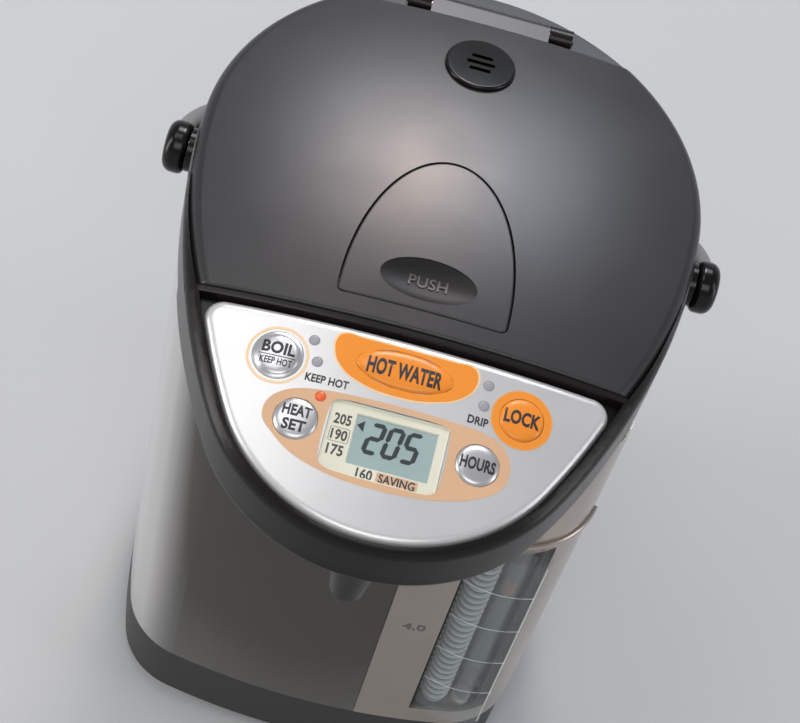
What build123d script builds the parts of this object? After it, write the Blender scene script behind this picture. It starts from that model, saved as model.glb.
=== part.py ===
from build123d import *
import math
import os

# Electric thermo pot: a four litre vacuum vessel in a metal body, with an egg
# shaped upper housing that carries the lid, the control panel and the spout.
# Millimetres, +Z up, the floor at z = 0, the vessel's axis is the Z axis and
# the spout points along -Y.

# ---------------------------------------------------------------- levels
height = 333.0            # crown of the lid above the floor
foot_height = 3.0         # rubber ring under the turntable
turntable_top = 10.7
base_floor_z = 11.0       # underside of the bottom cover
base_top_z = 44.0         # bottom cover meets the metal body
head_depth = 36.0         # crown down to where the metal body ends
nose_split_depth = 42.0   # crown down to the seam between the nose's two tiers
nose_depth = 51.0         # crown down to the underside of the nose
well_depth = 33.0         # crown down to the floor of the lid's well
vessel_floor_z = 75.0     # underside of the inner vessel
shoulder_z = height - head_depth
nose_split_z = height - nose_split_depth
nose_bottom_z = height - nose_depth
well_floor_z = height - well_depth

# ---------------------------------------------------------------- outlines
housing_half_width = 104.5
housing_bow = 275.0       # radius of the long side arcs
nose_reach = 176.5        # axis to the front of the nose
body_step = 1.0           # the housing stands out past the body at the sides
body_half_width = housing_half_width - body_step
body_reach = 104.0        # axis to the middle of the metal front
body_corner_radius = 36.0
body_front_radius = 350.0
panel_side_border = 6.0   # housing that shows beside the control panel
panel_front_border = 4.0
panel_half_width = housing_half_width - panel_side_border
panel_reach = nose_reach - panel_front_border
panel_edge_y = -92.0      # rear edge of the control panel
crease_y = -90.6          # the dome ends and the nose slope begins
dome_radius = 600.0
nose_slope = 12.0         # degrees, falling to the front
shoulder_roll = 6.0       # rolled top edge of the housing
nose_step = 1.5           # lower tier of the nose inside the upper one
nose_cover_setback = 8.5  # the lower tier leaves the body this far in front of the upper one
lid_inset = 5.5           # lid skirt inside the housing outline
lid_side_step = 0.5       # lid edge inside the housing outline at the sides
lid_bow = 216.0           # radius of the lid's side arcs
lid_roll = 5.5            # rolled side edges of the lid
lid_edge_depth = 17.0     # crown down to the underside of the lid's edge
lid_half_width = housing_half_width - lid_side_step
lid_edge_z = height - lid_edge_depth
rim_end_y = -36.0         # behind this the lid covers the housing's rim
lid_front_y = -88.2
lid_rear_border = 23.5    # from the lid's rear edge to the back of the housing
lid_rear_y = housing_half_width - lid_rear_border
nose_leaves_y = -75.0     # in front of this the nose stands out from the body

# ---------------------------------------------------------------- walls and gaps
housing_wall = 2.5
body_wall = 1.0
base_wall = 2.2
vessel_wall = 1.0
panel_thickness = 2.2
panel_corner = 7.5
panel_roll = 3.8          # rolled edge all round the control panel
panel_rim_depth = 4.8
panel_rim_width = 4.2
window_wall = 2.0
lid_wall = 2.5
lid_gap = 0.9             # seam round the lid
lid_seam = 0.5            # between the lid's edge and the housing's rim
seam_gap = 0.3            # seams between fixed covers
running_gap = 0.3         # between faces that move past each other
shaft_gap = 0.06          # pin or shaft in its bore, radial

# ---------------------------------------------------------------- lid parts
lid_depth = 23.0          # crown down to the underside of the lid shell
lid_skirt_z = height - lid_depth
liner_thickness = 2.5
liner_inset = 8.0
plug_radius = 50.0
plug_depth = 18.0
gasket_width = 5.0
inner_lid_thickness = 2.0
steam_hole_radius = 4.0
steam_hole_y = 36.0
hinge_setback = 9.0       # from the lid's rear edge to the hinge pin
hinge_drop = 12.0
hinge_y = lid_rear_y + hinge_setback
hinge_z = height - hinge_drop
knuckle_radius = 5.0
knuckle_half_width = 26.0
hinge_lug_width = 10.0
hinge_pin_radius = 2.0
shelf_z = hinge_z - 1.0   # ledge behind the lid
lever_front_y = -79.0
lever_front_half = 33.5
lever_apex_y = -7.0
lever_corner_radius = 2.5
lever_side_length = 7.0
lever_gap = 0.5
lever_well_depth = 13.5   # crown down to the floor of the lever's recess
lever_depth = 8.8
lever_pivot_drop = 9.3
lever_well_floor_z = height - lever_well_depth
lever_well_wall = 1.5
lever_bottom_z = height - lever_depth
lever_pivot_y = -24.0
lever_pivot_z = height - lever_pivot_drop
lever_boss_radius = 3.2
lever_pin_radius = 1.5
push_y = -66.0            # oval finger recess in the lever
push_length = 39.0
push_width = 19.0
push_depth = 2.4
push_draft = 30.0         # slope of the recess wall, degrees from upright
bolt_half_width = 15.0
bolt_thickness = 2.5
bolt_drop = 18.0
bolt_z = height - bolt_drop
bolt_length = 26.0
bolt_gap_to_strike = 0.5
vent_y = 52.0
vent_radius = 15.0
vent_flange = 2.0
vent_tube_radius = 8.0
vent_slot_width = 2.0
vent_slot_pitch = 4.0

# ---------------------------------------------------------------- vessel
flange_gap_z = 1.0        # gasket between the vessel's flange and the housing
mouth_z = shoulder_z - flange_gap_z
jacket_gap = 7.0          # vacuum between the two walls
jacket_clearance = 14.5   # jacket to the metal body
vessel_radius = body_half_width - body_wall - jacket_clearance - vessel_wall - jacket_gap
floor_corner = 4.0        # outside bend where the vessel's wall turns in to its floor
floor_edge = 0.3          # the welded floor disc stands this far up the bend
neck_height = 20.0
vessel_shoulder_height = 18.0
neck_base_z = mouth_z - neck_height
vessel_shoulder_z = neck_base_z - vessel_shoulder_height
neck_radius = 57.0        # inside of the neck
mouth_radius = 60.0       # hole in the well floor
flange_radius = 66.0
flange_thickness = 1.0
jacket_floor_z = 70.0
jacket_hole_radius = 45.0
heater_outer = 42.0
heater_inner = 24.0
heater_thickness = 4.5
sensor_offset = 18.0
sensor_radius = 5.0
sensor_height = 7.0

# ---------------------------------------------------------------- water path
pipe_radius = 4.5
pipe_wall = 1.3
spigot_radius = 5.0
spigot_wall = 1.2
hose_wall = 2.0
pump_radius = 25.0
pump_wall = 4.0
pump_floor_z = 42.0
pump_top_z = 58.0
pump_plate = 3.0
motor_radius = 16.0
motor_floor_z = 20.0
motor_stand_wall = 3.0
shaft_radius = 1.5
shaft_depth = 12.0
impeller_radius = 18.0
impeller_disc = 2.0
impeller_vane_height = 4.0
impeller_vanes = 6
delivery_z = 50.0
gauge_side_inset = 31.0   # gauge tube to the side of the body
gauge_front_inset = 6.8   # gauge tube to the metal wall in front of it
gauge_x = body_half_width - gauge_side_inset
gauge_tube_radius = 5.0
gauge_tube_wall = 1.4
cross_pipe_rise = 10.0    # cross pipe above the underside of the nose
cross_pipe_z = nose_bottom_z + cross_pipe_rise
pipe_bend = 12.0
cross_pipe_bend = 5.4
spout_front_inset = 15.5
spout_y = spout_front_inset - nose_reach
spout_base_radius = 10.5
spout_tip_radius = 7.0
spout_length = 28.6
spout_tip_z = nose_bottom_z - spout_length
spout_bore = 3.8
spout_flange = 0.5
float_radius = 3.2
float_height = 9.0
float_drop = 46.5         # from the top of the window down to the float

# ---------------------------------------------------------------- gauge cover
frame_width = 78.5        # from the side of the body to the cover's left edge
frame_return = 34.0       # how far the cover runs back round the corner
frame_proud = 1.6
frame_foot = 3.0          # above the bottom cover
bead_rise = 6.5           # above the window
bead_radius = 1.6
bead_run = 39.5           # from the side of the body to the bead's left end
window_side_inset = 19.5
window_width = 34.0
window_foot = 16.0        # above the bottom cover
window_head = 72.5        # below the nose
window_front_rise = 11.4  # the window's two front edges in front of the tube's middle
window_bulge = 3.4        # how far its middle stands forward of the ends
window_back_rise = 1.0    # back edge in front of the tube's middle
window_slot_depth = 8.0   # cut in the metal behind the window
channel_inset = 7.0       # backing behind the tube's middle
channel_thickness = 1.5
tube_overlap = 2.0        # tube beyond the window above
tube_foot = 4.0
scale_right_inset = 37.0
scale_plate = 1.2         # flat back of the ribbed reflector
scale_core_radius = 5.6
scale_rib_radius = 6.6
scale_rib_height = 3.2
scale_rib_pitch = 5.2
frame_left_x = body_half_width - frame_width
frame_end_y = frame_return - body_reach
frame_bottom_z = base_top_z + frame_foot
bead_left_x = body_half_width - bead_run
window_right_x = body_half_width - window_side_inset
window_left_x = window_right_x - window_width
window_bottom_z = base_top_z + window_foot
window_top_z = nose_bottom_z - window_head
bead_z = window_top_z + bead_rise
gauge_tube_bottom_z = window_bottom_z + tube_foot
gauge_tube_top_z = window_top_z + tube_overlap
scale_right_x = body_half_width - scale_right_inset
float_z = window_top_z - float_drop

# ---------------------------------------------------------------- buttons and display
button_rise = 1.3
button_travel = 0.8
button_flange = 1.2
button_flange_thickness = 1.0
flange_gap = 0.45         # button flange under the panel
button_gap = 0.3
button_edge = 0.8
dispense_x = -0.5
dispense_s = 14.3         # distance down the slope from the panel's rear edge
dispense_length = 37.0
dispense_width = 15.0
round_buttons = {         # x, distance down the slope, diameter
    "unlock_button": (46.5, 20.1, 17.0),
    "reboil_button": (-48.3, 19.7, 19.0),
    "temperature_button": (-35.7, 43.3, 16.5),
    "timer_button": (33.9, 42.9, 16.5),
}
lamp_radius = 2.1
lamp_height = 5.0
lamps = [(-28.8, 32.4), (-36.4, 10.5), (-33.3, 18.9), (31.5, 10.4), (31.4, 19.0)]
display_x = -1.4
display_s = 45.8
display_width = 45.0
display_length = 29.0
display_glass = 1.5
display_recess = 0.4
module_border = 1.0
board_depth = 9.0         # below the panel surface
board_thickness = 1.6
board_front_s = 66.0
switch_size = 6.0
post_radius = 2.5
post_places = [(-62.0, 8.0), (62.0, 8.0), (-42.0, 55.0), (42.0, 55.0)]
board_inset = 6.0
ledge_width = 3.0
ledge_thickness = 3.6

# ---------------------------------------------------------------- handle
pivot_y = -15.0
pivot_drop = 24.0
pivot_z = height - pivot_drop
pivot_radius = 4.0
pivot_depth = 3.2         # into the housing wall
hub_radius = 10.8
hub_width = 9.3
hub_clearance = 1.8       # housing to the inner face of each hub
hub_face_x = housing_half_width + hub_clearance
hub_edge = 4.4            # rounding of the hub's outer edge
hub_inner_edge = 2.6
washer_radius = 9.0
handle_side_gap = 2.3
handle_half_width = housing_half_width + handle_side_gap
handle_thickness = 8.0
handle_depth = 15.0
handle_straight = 18.0
handle_clearance = 4.4    # body to the grip when it is folded back
handle_bow = 166.0
handle_drop = 35.0        # degrees below level when it is folded back
handle_edge = 3.4

# ---------------------------------------------------------------- base
turntable_inset = 21.5    # from the side of the body in to the turntable's rim
turntable_radius = body_half_width - turntable_inset
turntable_hub_radius = 12.0
retainer_radius = 17.0
retainer_thickness = 2.4
retainer_z = 6.0          # top of the retainer disc
foot_ring_inset = 6.0     # rubber ring in from the turntable's rim
foot_ring_width = 14.0
support_ring_inset = 33.5 # posts that carry the vessel, in from the side of the body
support_radius = 5.0
support_count = 3
screw_ring_inset = 14.7
screw_count = 4
screw_head_radius = 3.5
screw_head_height = 2.0
inlet_half_width = 17.0
inlet_low_z = 20.0
inlet_high_z = 36.0
inlet_wall = 3.5
inlet_recess = 11.0
inlet_depth = 20.0
inlet_pin_radius = 1.6
inlet_pin_length = 7.0
inlet_pin_pitch = 12.0
power_board_inset = 53.5  # from the side of the body in to the board's middle
power_board_y = 38.0
power_board_side_room = 55.5
power_board_end_room = 47.5
power_board_width = body_half_width - power_board_side_room
power_board_length = body_half_width - power_board_end_room
power_board_z = 19.0
power_board_x = power_board_inset - body_half_width
relay_size = (14.0, 18.0, 15.0)
relay_x = 12.0            # places on the board from its middle
relay_y = 10.0
transformer_size = (22.0, 20.0, 24.0)
transformer_x = 6.0
transformer_y = -14.0
capacitor_x = -12.0
capacitor_y = 8.0
capacitor_radius = 7.0
capacitor_height = 22.0

# ---------------------------------------------------------------- derived
dome_centre_z = height - dome_radius
crease_radius = math.sqrt(dome_radius**2 - crease_y**2)
slope = math.radians(nose_slope)
jacket_radius = vessel_radius + vessel_wall + jacket_gap
handle_fold = math.radians(handle_drop)
handle_reach = (body_half_width + handle_clearance - pivot_y) / math.cos(handle_fold)
far = height + body_half_width  # larger than the pot, for cutting tools

nodes = {}


# ---------------------------------------------------------------- helpers
def keep(name, shape):
    """File a finished piece under its node name."""
    nodes[name] = shape


def slab(x0, x1, y0, y1, z0, z1):
    """A box given by its limits."""
    box = Box(x1 - x0, y1 - y0, z1 - z0)
    return Pos((x0 + x1) / 2, (y0 + y1) / 2, (z0 + z1) / 2) * box


def post(radius, z0, z1, x=0.0, y=0.0):
    """An upright cylinder between two levels."""
    return Pos(x, y, (z0 + z1) / 2) * Cylinder(radius, z1 - z0)


def ring(outer, inner, z0, z1, x=0.0, y=0.0):
    """An upright tube between two levels."""
    return post(outer, z0, z1, x, y) - post(inner, z0 - 1, z1 + 1, x, y)


def cross_post(radius, x0, x1, y, z):
    """A cylinder along X."""
    return Pos((x0 + x1) / 2, y, z) * Rot(0, 90, 0) * Cylinder(radius, x1 - x0)


def polar(count, radius, start=0.0):
    """Places spread evenly on a circle."""
    turns = [start + 2 * math.pi * i / count for i in range(count)]
    return [(radius * math.cos(t), radius * math.sin(t)) for t in turns]


def arc(centre, radius, start, end):
    """An arc about a centre, from one angle to another in degrees."""
    points = []
    for angle in (start, (start + end) / 2, end):
        turn = math.radians(angle)
        points.append((centre[0] + radius * math.cos(turn), centre[1] + radius * math.sin(turn)))
    return ThreePointArc(*points)


def egg(half_width, reach, bow=housing_bow, inset=0.0):
    """Egg outline: a half circle behind, two long side arcs and a nose arc."""
    side = bow - half_width
    nose = (bow**2 - side**2 - reach**2) / (2 * (bow - reach))
    meet = math.degrees(math.atan2(reach - nose, side))
    bow_r = bow - inset
    nose_r = nose - inset
    nose_y = -(reach - nose)
    return make_face([
        arc((0, 0), half_width - inset, 0, 180),
        arc((side, 0), bow_r, 180, 180 + meet),
        arc((0, nose_y), nose_r, 180 + meet, 360 - meet),
        arc((-side, 0), bow_r, -meet, 0),
    ])


def corner_centre():
    """Middle of the arc that rounds the metal body's front corner."""
    side = housing_bow - body_half_width
    front = body_front_radius - body_reach
    ra = housing_bow - body_corner_radius
    rb = body_front_radius - body_corner_radius
    span = math.hypot(side, front)
    along = (ra**2 - rb**2 + span**2) / (2 * span)
    across = math.sqrt(ra**2 - along**2)
    ux, uy = side / span, front / span
    return -side + ux * along + uy * across, uy * along - ux * across


def metal_plan(inset=0.0):
    """Outline of the metal body: round behind, a squarer crowned front."""
    side = housing_bow - body_half_width
    front = body_front_radius - body_reach
    cx, cy = corner_centre()
    side_turn = math.degrees(math.atan2(cy, cx + side))
    front_turn = math.degrees(math.atan2(cy - front, cx))
    corner = body_corner_radius - inset
    bow = housing_bow - inset
    return make_face([
        arc((0, 0), body_half_width - inset, 0, 180),
        arc((side, 0), bow, 180, 180 - side_turn),
        arc((-cx, cy), corner, 180 - side_turn, 180 - front_turn),
        arc((0, front), body_front_radius - inset, 180 - front_turn, 360 + front_turn),
        arc((cx, cy), corner, front_turn, side_turn),
        arc((-side, 0), bow, side_turn, 0),
    ])


def front_wall_y(x):
    """Where the metal body's front wall stands at a place across it."""
    front = body_front_radius - body_reach
    cx, cy = corner_centre()
    if x < cx * body_front_radius / (body_front_radius - body_corner_radius):
        return front - math.sqrt(body_front_radius**2 - x**2)
    return cy - math.sqrt(body_corner_radius**2 - (x - cx)**2)


def prism(face, z0, z1):
    """A flat outline raised from one level to another."""
    return Pos(0, 0, z0) * extrude(face, amount=z1 - z0)


def envelope(drop=0.0):
    """Everything under the domed top and the sloping nose, lowered by drop."""
    low = height / 2
    wide = housing_half_width + 25.0
    dome = Pos(0, 0, dome_centre_z) * Sphere(dome_radius)
    rear = slab(-wide, wide, crease_y, wide, low, height + 5) & dome
    top = dome_centre_z + crease_radius
    edge = dome_centre_z + math.sqrt(crease_radius**2 - wide**2)
    outline = make_face([
        ThreePointArc((-wide, edge), (0, top), (wide, edge)),
        Line((wide, edge), (wide, low)),
        Line((wide, low), (-wide, low)),
        Line((-wide, low), (-wide, edge)),
    ])
    wall = Plane(origin=(0, crease_y, 0), x_dir=(1, 0, 0), z_dir=(0, -1, 0)) * outline
    fall = Vector(0, -math.cos(slope), -math.sin(slope))
    front = extrude(wall, amount=nose_reach, dir=fall)
    return Pos(0, 0, -drop) * (rear + front)


def nose_height(x, y):
    """Height of the sloping top of the nose at a place."""
    crown = dome_centre_z + math.sqrt(crease_radius**2 - x**2)
    return crown - (crease_y - y) * math.tan(slope)


def on_slope(x, s, rise=0.0):
    """A location on the panel, s down the slope, square to the flat board."""
    y = panel_edge_y - s * math.cos(slope)
    return Pos(x, y, nose_height(x, y)) * Rot(nose_slope, 0, 0) * Pos(0, 0, rise)


def on_panel(x, s, rise=0.0):
    """The same place, but square to the crowned panel itself."""
    lean = math.degrees(math.asin(x / crease_radius))
    return on_slope(x, s) * Rot(0, lean, 0) * Pos(0, 0, rise)


def board_level(x):
    """Top of the flat board below the crowned panel at x."""
    crown = nose_height(0, 0) - nose_height(x, 0)
    return crown * math.cos(slope) - board_depth


def tube_along(points, bend, outer, inner):
    """A round pipe along straight runs with equal bends."""
    path = FilletPolyline(*points, radius=bend)
    start = Plane(origin=path @ 0, z_dir=path % 0)
    skin = sweep(start * Circle(outer), path=path)
    hole = sweep(start * Circle(inner), path=path)
    return skin - hole


cover_form = envelope()
gauge_y = front_wall_y(gauge_x) + gauge_front_inset
gauge_run = math.hypot(gauge_x, gauge_y)
window_end_y = gauge_y - window_front_rise
window_back_y = gauge_y - window_back_rise
channel_y = gauge_y + channel_inset


# ---------------------------------------------------------------- base and turntable
def build_base():
    """Bottom cover with its posts, the turntable, its rubber ring and the screws."""
    inner_z = base_floor_z + housing_wall
    cover = prism(metal_plan(), base_floor_z, base_top_z)
    cover -= prism(metal_plan(base_wall), inner_z, base_top_z + 1)
    cover += post(turntable_hub_radius, retainer_z, base_floor_z + 1)
    cover += ring(motor_radius, motor_radius - motor_stand_wall, inner_z - 1, motor_floor_z)
    for x, y in polar(support_count, body_half_width - support_ring_inset, math.pi / 2):
        cover += post(support_radius, inner_z - 1, jacket_floor_z, x, y)
    half_w = power_board_width / 2 - post_radius
    half_l = power_board_length / 2 - post_radius
    for dx in (-half_w, half_w):
        for dy in (-half_l, half_l):
            cover += post(post_radius, inner_z - 1, power_board_z,
                          power_board_x + dx, power_board_y + dy)
    cover -= slab(-inlet_half_width - running_gap, inlet_half_width + running_gap,
                  body_half_width - inlet_depth / 2, far,
                  inlet_low_z - running_gap, inlet_high_z + running_gap)
    keep("base_cover", cover)

    heads = []
    for x, y in polar(screw_count, body_half_width - screw_ring_inset, math.pi / 4):
        heads.append(post(screw_head_radius, base_floor_z - screw_head_height, base_floor_z, x, y))
    keep("base_screws", Compound(heads))

    disc = post(turntable_radius, foot_height, turntable_top)
    disc -= post(turntable_hub_radius + running_gap, foot_height - 1, turntable_top + 1)
    disc -= post(retainer_radius + 2, foot_height - 1, retainer_z + running_gap)
    rim = disc.edges().filter_by(GeomType.CIRCLE).group_by(SortBy.RADIUS)[-1]
    keep("turntable", fillet(rim, 2.0))
    keep("turntable_retainer", post(retainer_radius, retainer_z - retainer_thickness, retainer_z))
    foot_outer = turntable_radius - foot_ring_inset
    keep("foot_ring", ring(foot_outer, foot_outer - foot_ring_width, 0, foot_height))


def build_power():
    """Mains inlet in the back of the base and the board behind it."""
    back = body_half_width
    block = slab(-inlet_half_width, inlet_half_width, back - inlet_depth, back,
                 inlet_low_z, inlet_high_z)
    block -= slab(-inlet_half_width + inlet_wall, inlet_half_width - inlet_wall,
                  back - inlet_recess, back + 1,
                  inlet_low_z + inlet_wall, inlet_high_z - inlet_wall)
    keep("power_inlet", block)
    pins = []
    for x in (-inlet_pin_pitch / 2, inlet_pin_pitch / 2):
        pin = Cylinder(inlet_pin_radius, inlet_pin_length)
        y = back - inlet_recess + inlet_pin_length / 2
        pins.append(Pos(x, y, (inlet_low_z + inlet_high_z) / 2) * Rot(90, 0, 0) * pin)
    keep("inlet_pins", Compound(pins))
    x, y = power_board_x, power_board_y
    top = power_board_z + board_thickness
    keep("power_board", slab(x - power_board_width / 2, x + power_board_width / 2,
                             y - power_board_length / 2, y + power_board_length / 2,
                             power_board_z, top))
    relay = Pos(x + relay_x, y + relay_y, top + relay_size[2] / 2) * Box(*relay_size)
    coil = Box(*transformer_size)
    coil = Pos(x + transformer_x, y + transformer_y, top + transformer_size[2] / 2) * coil
    can = post(capacitor_radius, top, top + capacitor_height, x + capacitor_x, y + capacitor_y)
    keep("power_parts", Compound([relay, coil, can]))


# ---------------------------------------------------------------- metal body
def gauge_slot(gap):
    """Room for the gauge window through the body wall and its cover."""
    return slab(window_left_x - gap, window_right_x + gap, -far, window_back_y + window_slot_depth,
                window_bottom_z - gap, window_top_z + gap)


def build_body():
    """Metal shell, open above and below, cut for the gauge and the nose."""
    shell = prism(metal_plan(), base_top_z, shoulder_z)
    shell -= prism(metal_plan(body_wall), base_top_z - 1, shoulder_z + 1)
    shell -= gauge_slot(running_gap)
    clear = gauge_x + pipe_radius * 2
    shell -= slab(-clear, clear, -far, gauge_y, nose_bottom_z + housing_wall, shoulder_z + 1)
    keep("outer_body", shell)


def build_gauge():
    """Cover plate, window, tube, float and scale of the water gauge."""
    top = nose_bottom_z - seam_gap
    skin = metal_plan(-frame_proud)
    frame = prism(skin, frame_bottom_z, top)
    bead = prism(metal_plan(-frame_proud - bead_radius), bead_z - bead_radius, bead_z + bead_radius)
    bead_edges = bead.edges().filter_by(Plane.XY)
    bead = fillet(bead_edges, bead_radius * 0.8)
    frame += bead & slab(bead_left_x, far, -far, frame_end_y, 0, far)
    frame -= prism(metal_plan(), frame_bottom_z - 1, top + 1)
    frame = frame & slab(frame_left_x, far, -far, frame_end_y, 0, far)
    frame -= gauge_slot(running_gap)
    keep("gauge_frame", frame)

    def window_face(inset, back):
        left = window_left_x + inset
        right = window_right_x - inset
        mid = (left + right) / 2
        ends = window_end_y + inset
        return make_face([
            ThreePointArc((left, ends), (mid, ends - window_bulge), (right, ends)),
            Line((right, ends), (right, back)),
            Line((right, back), (left, back)),
            Line((left, back), (left, ends)),
        ])
    glass = prism(window_face(0, window_back_y), window_bottom_z, window_top_z)
    front = glass.edges().filter_by(Axis.Z).group_by(Axis.Y)[0]
    glass = fillet(front, window_wall * 1.2)
    hollow = prism(window_face(window_wall, window_back_y + 1),
                   window_bottom_z + window_wall, window_top_z - window_wall)
    glass -= hollow
    glass -= post(gauge_tube_radius + seam_gap, 0, far, gauge_x, gauge_y)
    keep("gauge_window", glass)

    inner = gauge_tube_radius - gauge_tube_wall
    keep("gauge_tube", ring(gauge_tube_radius, inner, gauge_tube_bottom_z, gauge_tube_top_z,
                            gauge_x, gauge_y))
    buoy = post(float_radius, float_z, float_z + float_height, gauge_x, gauge_y)
    buoy = fillet(buoy.edges().filter_by(GeomType.CIRCLE), float_radius * 0.6)
    keep("gauge_float", buoy)

    low = window_bottom_z + window_wall + running_gap
    high = window_top_z - window_wall - running_gap
    left = window_left_x + window_wall + running_gap
    right = window_right_x - window_wall - running_gap
    back = slab(left, right, channel_y - channel_thickness, channel_y, low, high)
    back += slab(left, left + channel_thickness, window_back_y, channel_y, low, high)
    back += slab(right - channel_thickness, right, gauge_y - 2, channel_y, low, high)
    clamp_y = channel_y - channel_thickness
    for z in (low + 14, high - 14):
        clamp = slab(gauge_x - gauge_tube_radius - 2, gauge_x + gauge_tube_radius + 2,
                     gauge_y, clamp_y + 0.5, z - 3, z + 3)
        back += clamp - post(gauge_tube_radius + shaft_gap, z - 4, z + 4, gauge_x, gauge_y)
    keep("gauge_channel", back)

    face_y = window_back_y - scale_plate
    mid_x = (left + scale_right_x) / 2
    column = post(scale_core_radius, low, high, mid_x, face_y)
    rib = Cylinder(scale_rib_radius, scale_rib_height)
    rib = fillet(rib.edges().filter_by(GeomType.CIRCLE), scale_rib_height * 0.4)
    count = int((high - low) / scale_rib_pitch)
    first = (low + high - (count - 1) * scale_rib_pitch) / 2
    for i in range(count):
        column += Pos(mid_x, face_y, first + i * scale_rib_pitch) * rib
    column = column & slab(left, scale_right_x, -far, face_y, low, high)
    keep("gauge_scale", column + slab(left, scale_right_x, face_y, window_back_y, low, high))


# ---------------------------------------------------------------- upper housing
def lid_outline(inset, front_y, rear_y):
    """The lid's plan: the housing outline moved in and cut straight at both ends."""
    band = Pos(0, (front_y + rear_y) / 2) * Rectangle(far, rear_y - front_y)
    return egg(housing_half_width, nose_reach, inset=inset) & band


def lid_plan(grow, front_y, rear_y):
    """Plan of the lid's edge, which meets the housing's side behind the rim."""
    band = Pos(0, (front_y + rear_y) / 2) * Rectangle(far, rear_y - front_y)
    return egg(lid_half_width + grow, nose_reach, bow=lid_bow + grow) & band


def build_housing():
    """Upper housing: rolled rim, lid well, hinge ledge, panel seat and nose."""
    plan = egg(housing_half_width, nose_reach)
    form = prism(plan, nose_split_z + seam_gap, height) & cover_form
    rolled = []
    for edge in form.edges():
        start, end = edge @ 0, edge @ 1
        upright = abs(start.X - end.X) < 0.01 and abs(start.Y - end.Y) < 0.01
        crease = abs(start.Y - crease_y) < 0.01 and abs(end.Y - crease_y) < 0.01
        if edge.center().Z > shoulder_z and not upright and not crease:
            rolled.append(edge)
    form = fillet(rolled, shoulder_roll)

    # over the metal body the housing starts at the shoulder
    form -= slab(-far, far, nose_leaves_y, far, 0, shoulder_z)
    form -= prism(metal_plan(-seam_gap), 0, shoulder_z)

    well = lid_outline(lid_inset - lid_gap, lid_front_y - lid_gap, lid_rear_y + seam_gap * 2)
    form -= prism(well, well_floor_z, far)
    form -= post(mouth_radius, shoulder_z - 1, well_floor_z + 1)
    rear = lid_rear_y + seam_gap * 2
    rim_z = lid_edge_z - lid_seam
    form -= prism(lid_plan(lid_seam, lid_front_y - lid_gap, rear), rim_z, far)
    form -= slab(-far, far, rim_end_y, rear, rim_z, far)

    # nose: hollow below, with a ledge that the panel rests on
    wall_y = lid_front_y - lid_gap - housing_wall
    hollow = egg(housing_half_width, nose_reach, inset=housing_wall)
    front = slab(-far, far, -far, wall_y, 0, far)
    form -= prism(hollow, 0, far) & front & envelope(panel_rim_depth + ledge_thickness)
    open_top = egg(panel_half_width, panel_reach, inset=ledge_width)
    form -= prism(open_top, 0, far) & slab(-far, far, -far, panel_edge_y - ledge_width, 0, far)
    seat = egg(panel_half_width, panel_reach, inset=-seam_gap * 3)
    seat = prism(seat, 0, far) & slab(-far, far, -far, panel_edge_y + seam_gap * 2, 0, far)
    form -= seat - envelope(panel_rim_depth)

    # ledge and lugs for the lid hinge
    form -= slab(-far, far, rear, far, shelf_z, far)
    trough = knuckle_half_width + running_gap
    form -= slab(-trough, trough, rear - 1, hinge_y + knuckle_radius + 1.3,
                 hinge_z - knuckle_radius - 2, far)
    for side in (-1, 1):
        x0, x1 = sorted((side * trough, side * (trough + hinge_lug_width)))
        form += cross_post(knuckle_radius, x0, x1, hinge_y, hinge_z)
    reach = trough + hinge_lug_width
    form -= cross_post(hinge_pin_radius, -reach - 1, reach + 1, hinge_y, hinge_z)

    # strike pocket for the bolt, and blind bores for the handle pivots
    strike = bolt_half_width + running_gap
    form -= slab(-strike, strike, wall_y - 1, lid_front_y,
                 bolt_z - running_gap, bolt_z + bolt_thickness + running_gap)
    for side in (-1, 1):
        inner = housing_half_width - pivot_depth - 0.4
        x0, x1 = sorted((side * inner, side * far))
        form -= cross_post(pivot_radius, x0, x1, pivot_y, pivot_z)
    keep("upper_housing", form)
    keep("lid_hinge_pin", cross_post(hinge_pin_radius - 0.01, -reach, reach, hinge_y, hinge_z))


def build_nose_cover():
    """Lower tier of the nose, with the hole that the spout hangs in."""
    plan = egg(housing_half_width, nose_reach, inset=nose_step)
    rear = nose_leaves_y - nose_cover_setback
    zone = slab(-far, far, -far, rear, 0, far)
    tier = prism(plan, nose_bottom_z, nose_split_z - seam_gap)
    tier = fillet(tier.edges().group_by(Axis.Z)[0], housing_wall * 0.9) & zone
    tier -= prism(metal_plan(-seam_gap), 0, far)
    inner = prism(egg(housing_half_width, nose_reach, inset=housing_wall + nose_step),
                  nose_bottom_z + housing_wall, far)
    tier -= inner & slab(-far, far, -far, rear - housing_wall, 0, far)
    tier -= post(spout_base_radius - 2 + seam_gap, 0, far, 0, spout_y)
    # lip that stands inside the upper tier and closes the seam
    lip = prism(egg(housing_half_width, nose_reach, inset=housing_wall + seam_gap),
                nose_bottom_z + housing_wall - 0.5, nose_split_z + 2.5)
    lip -= prism(egg(housing_half_width, nose_reach, inset=housing_wall * 1.7 + seam_gap), 0, far)
    lip = lip & slab(-far, far, -far, -body_reach - 6, 0, far)
    keep("nose_cover", tier + lip)


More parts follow.
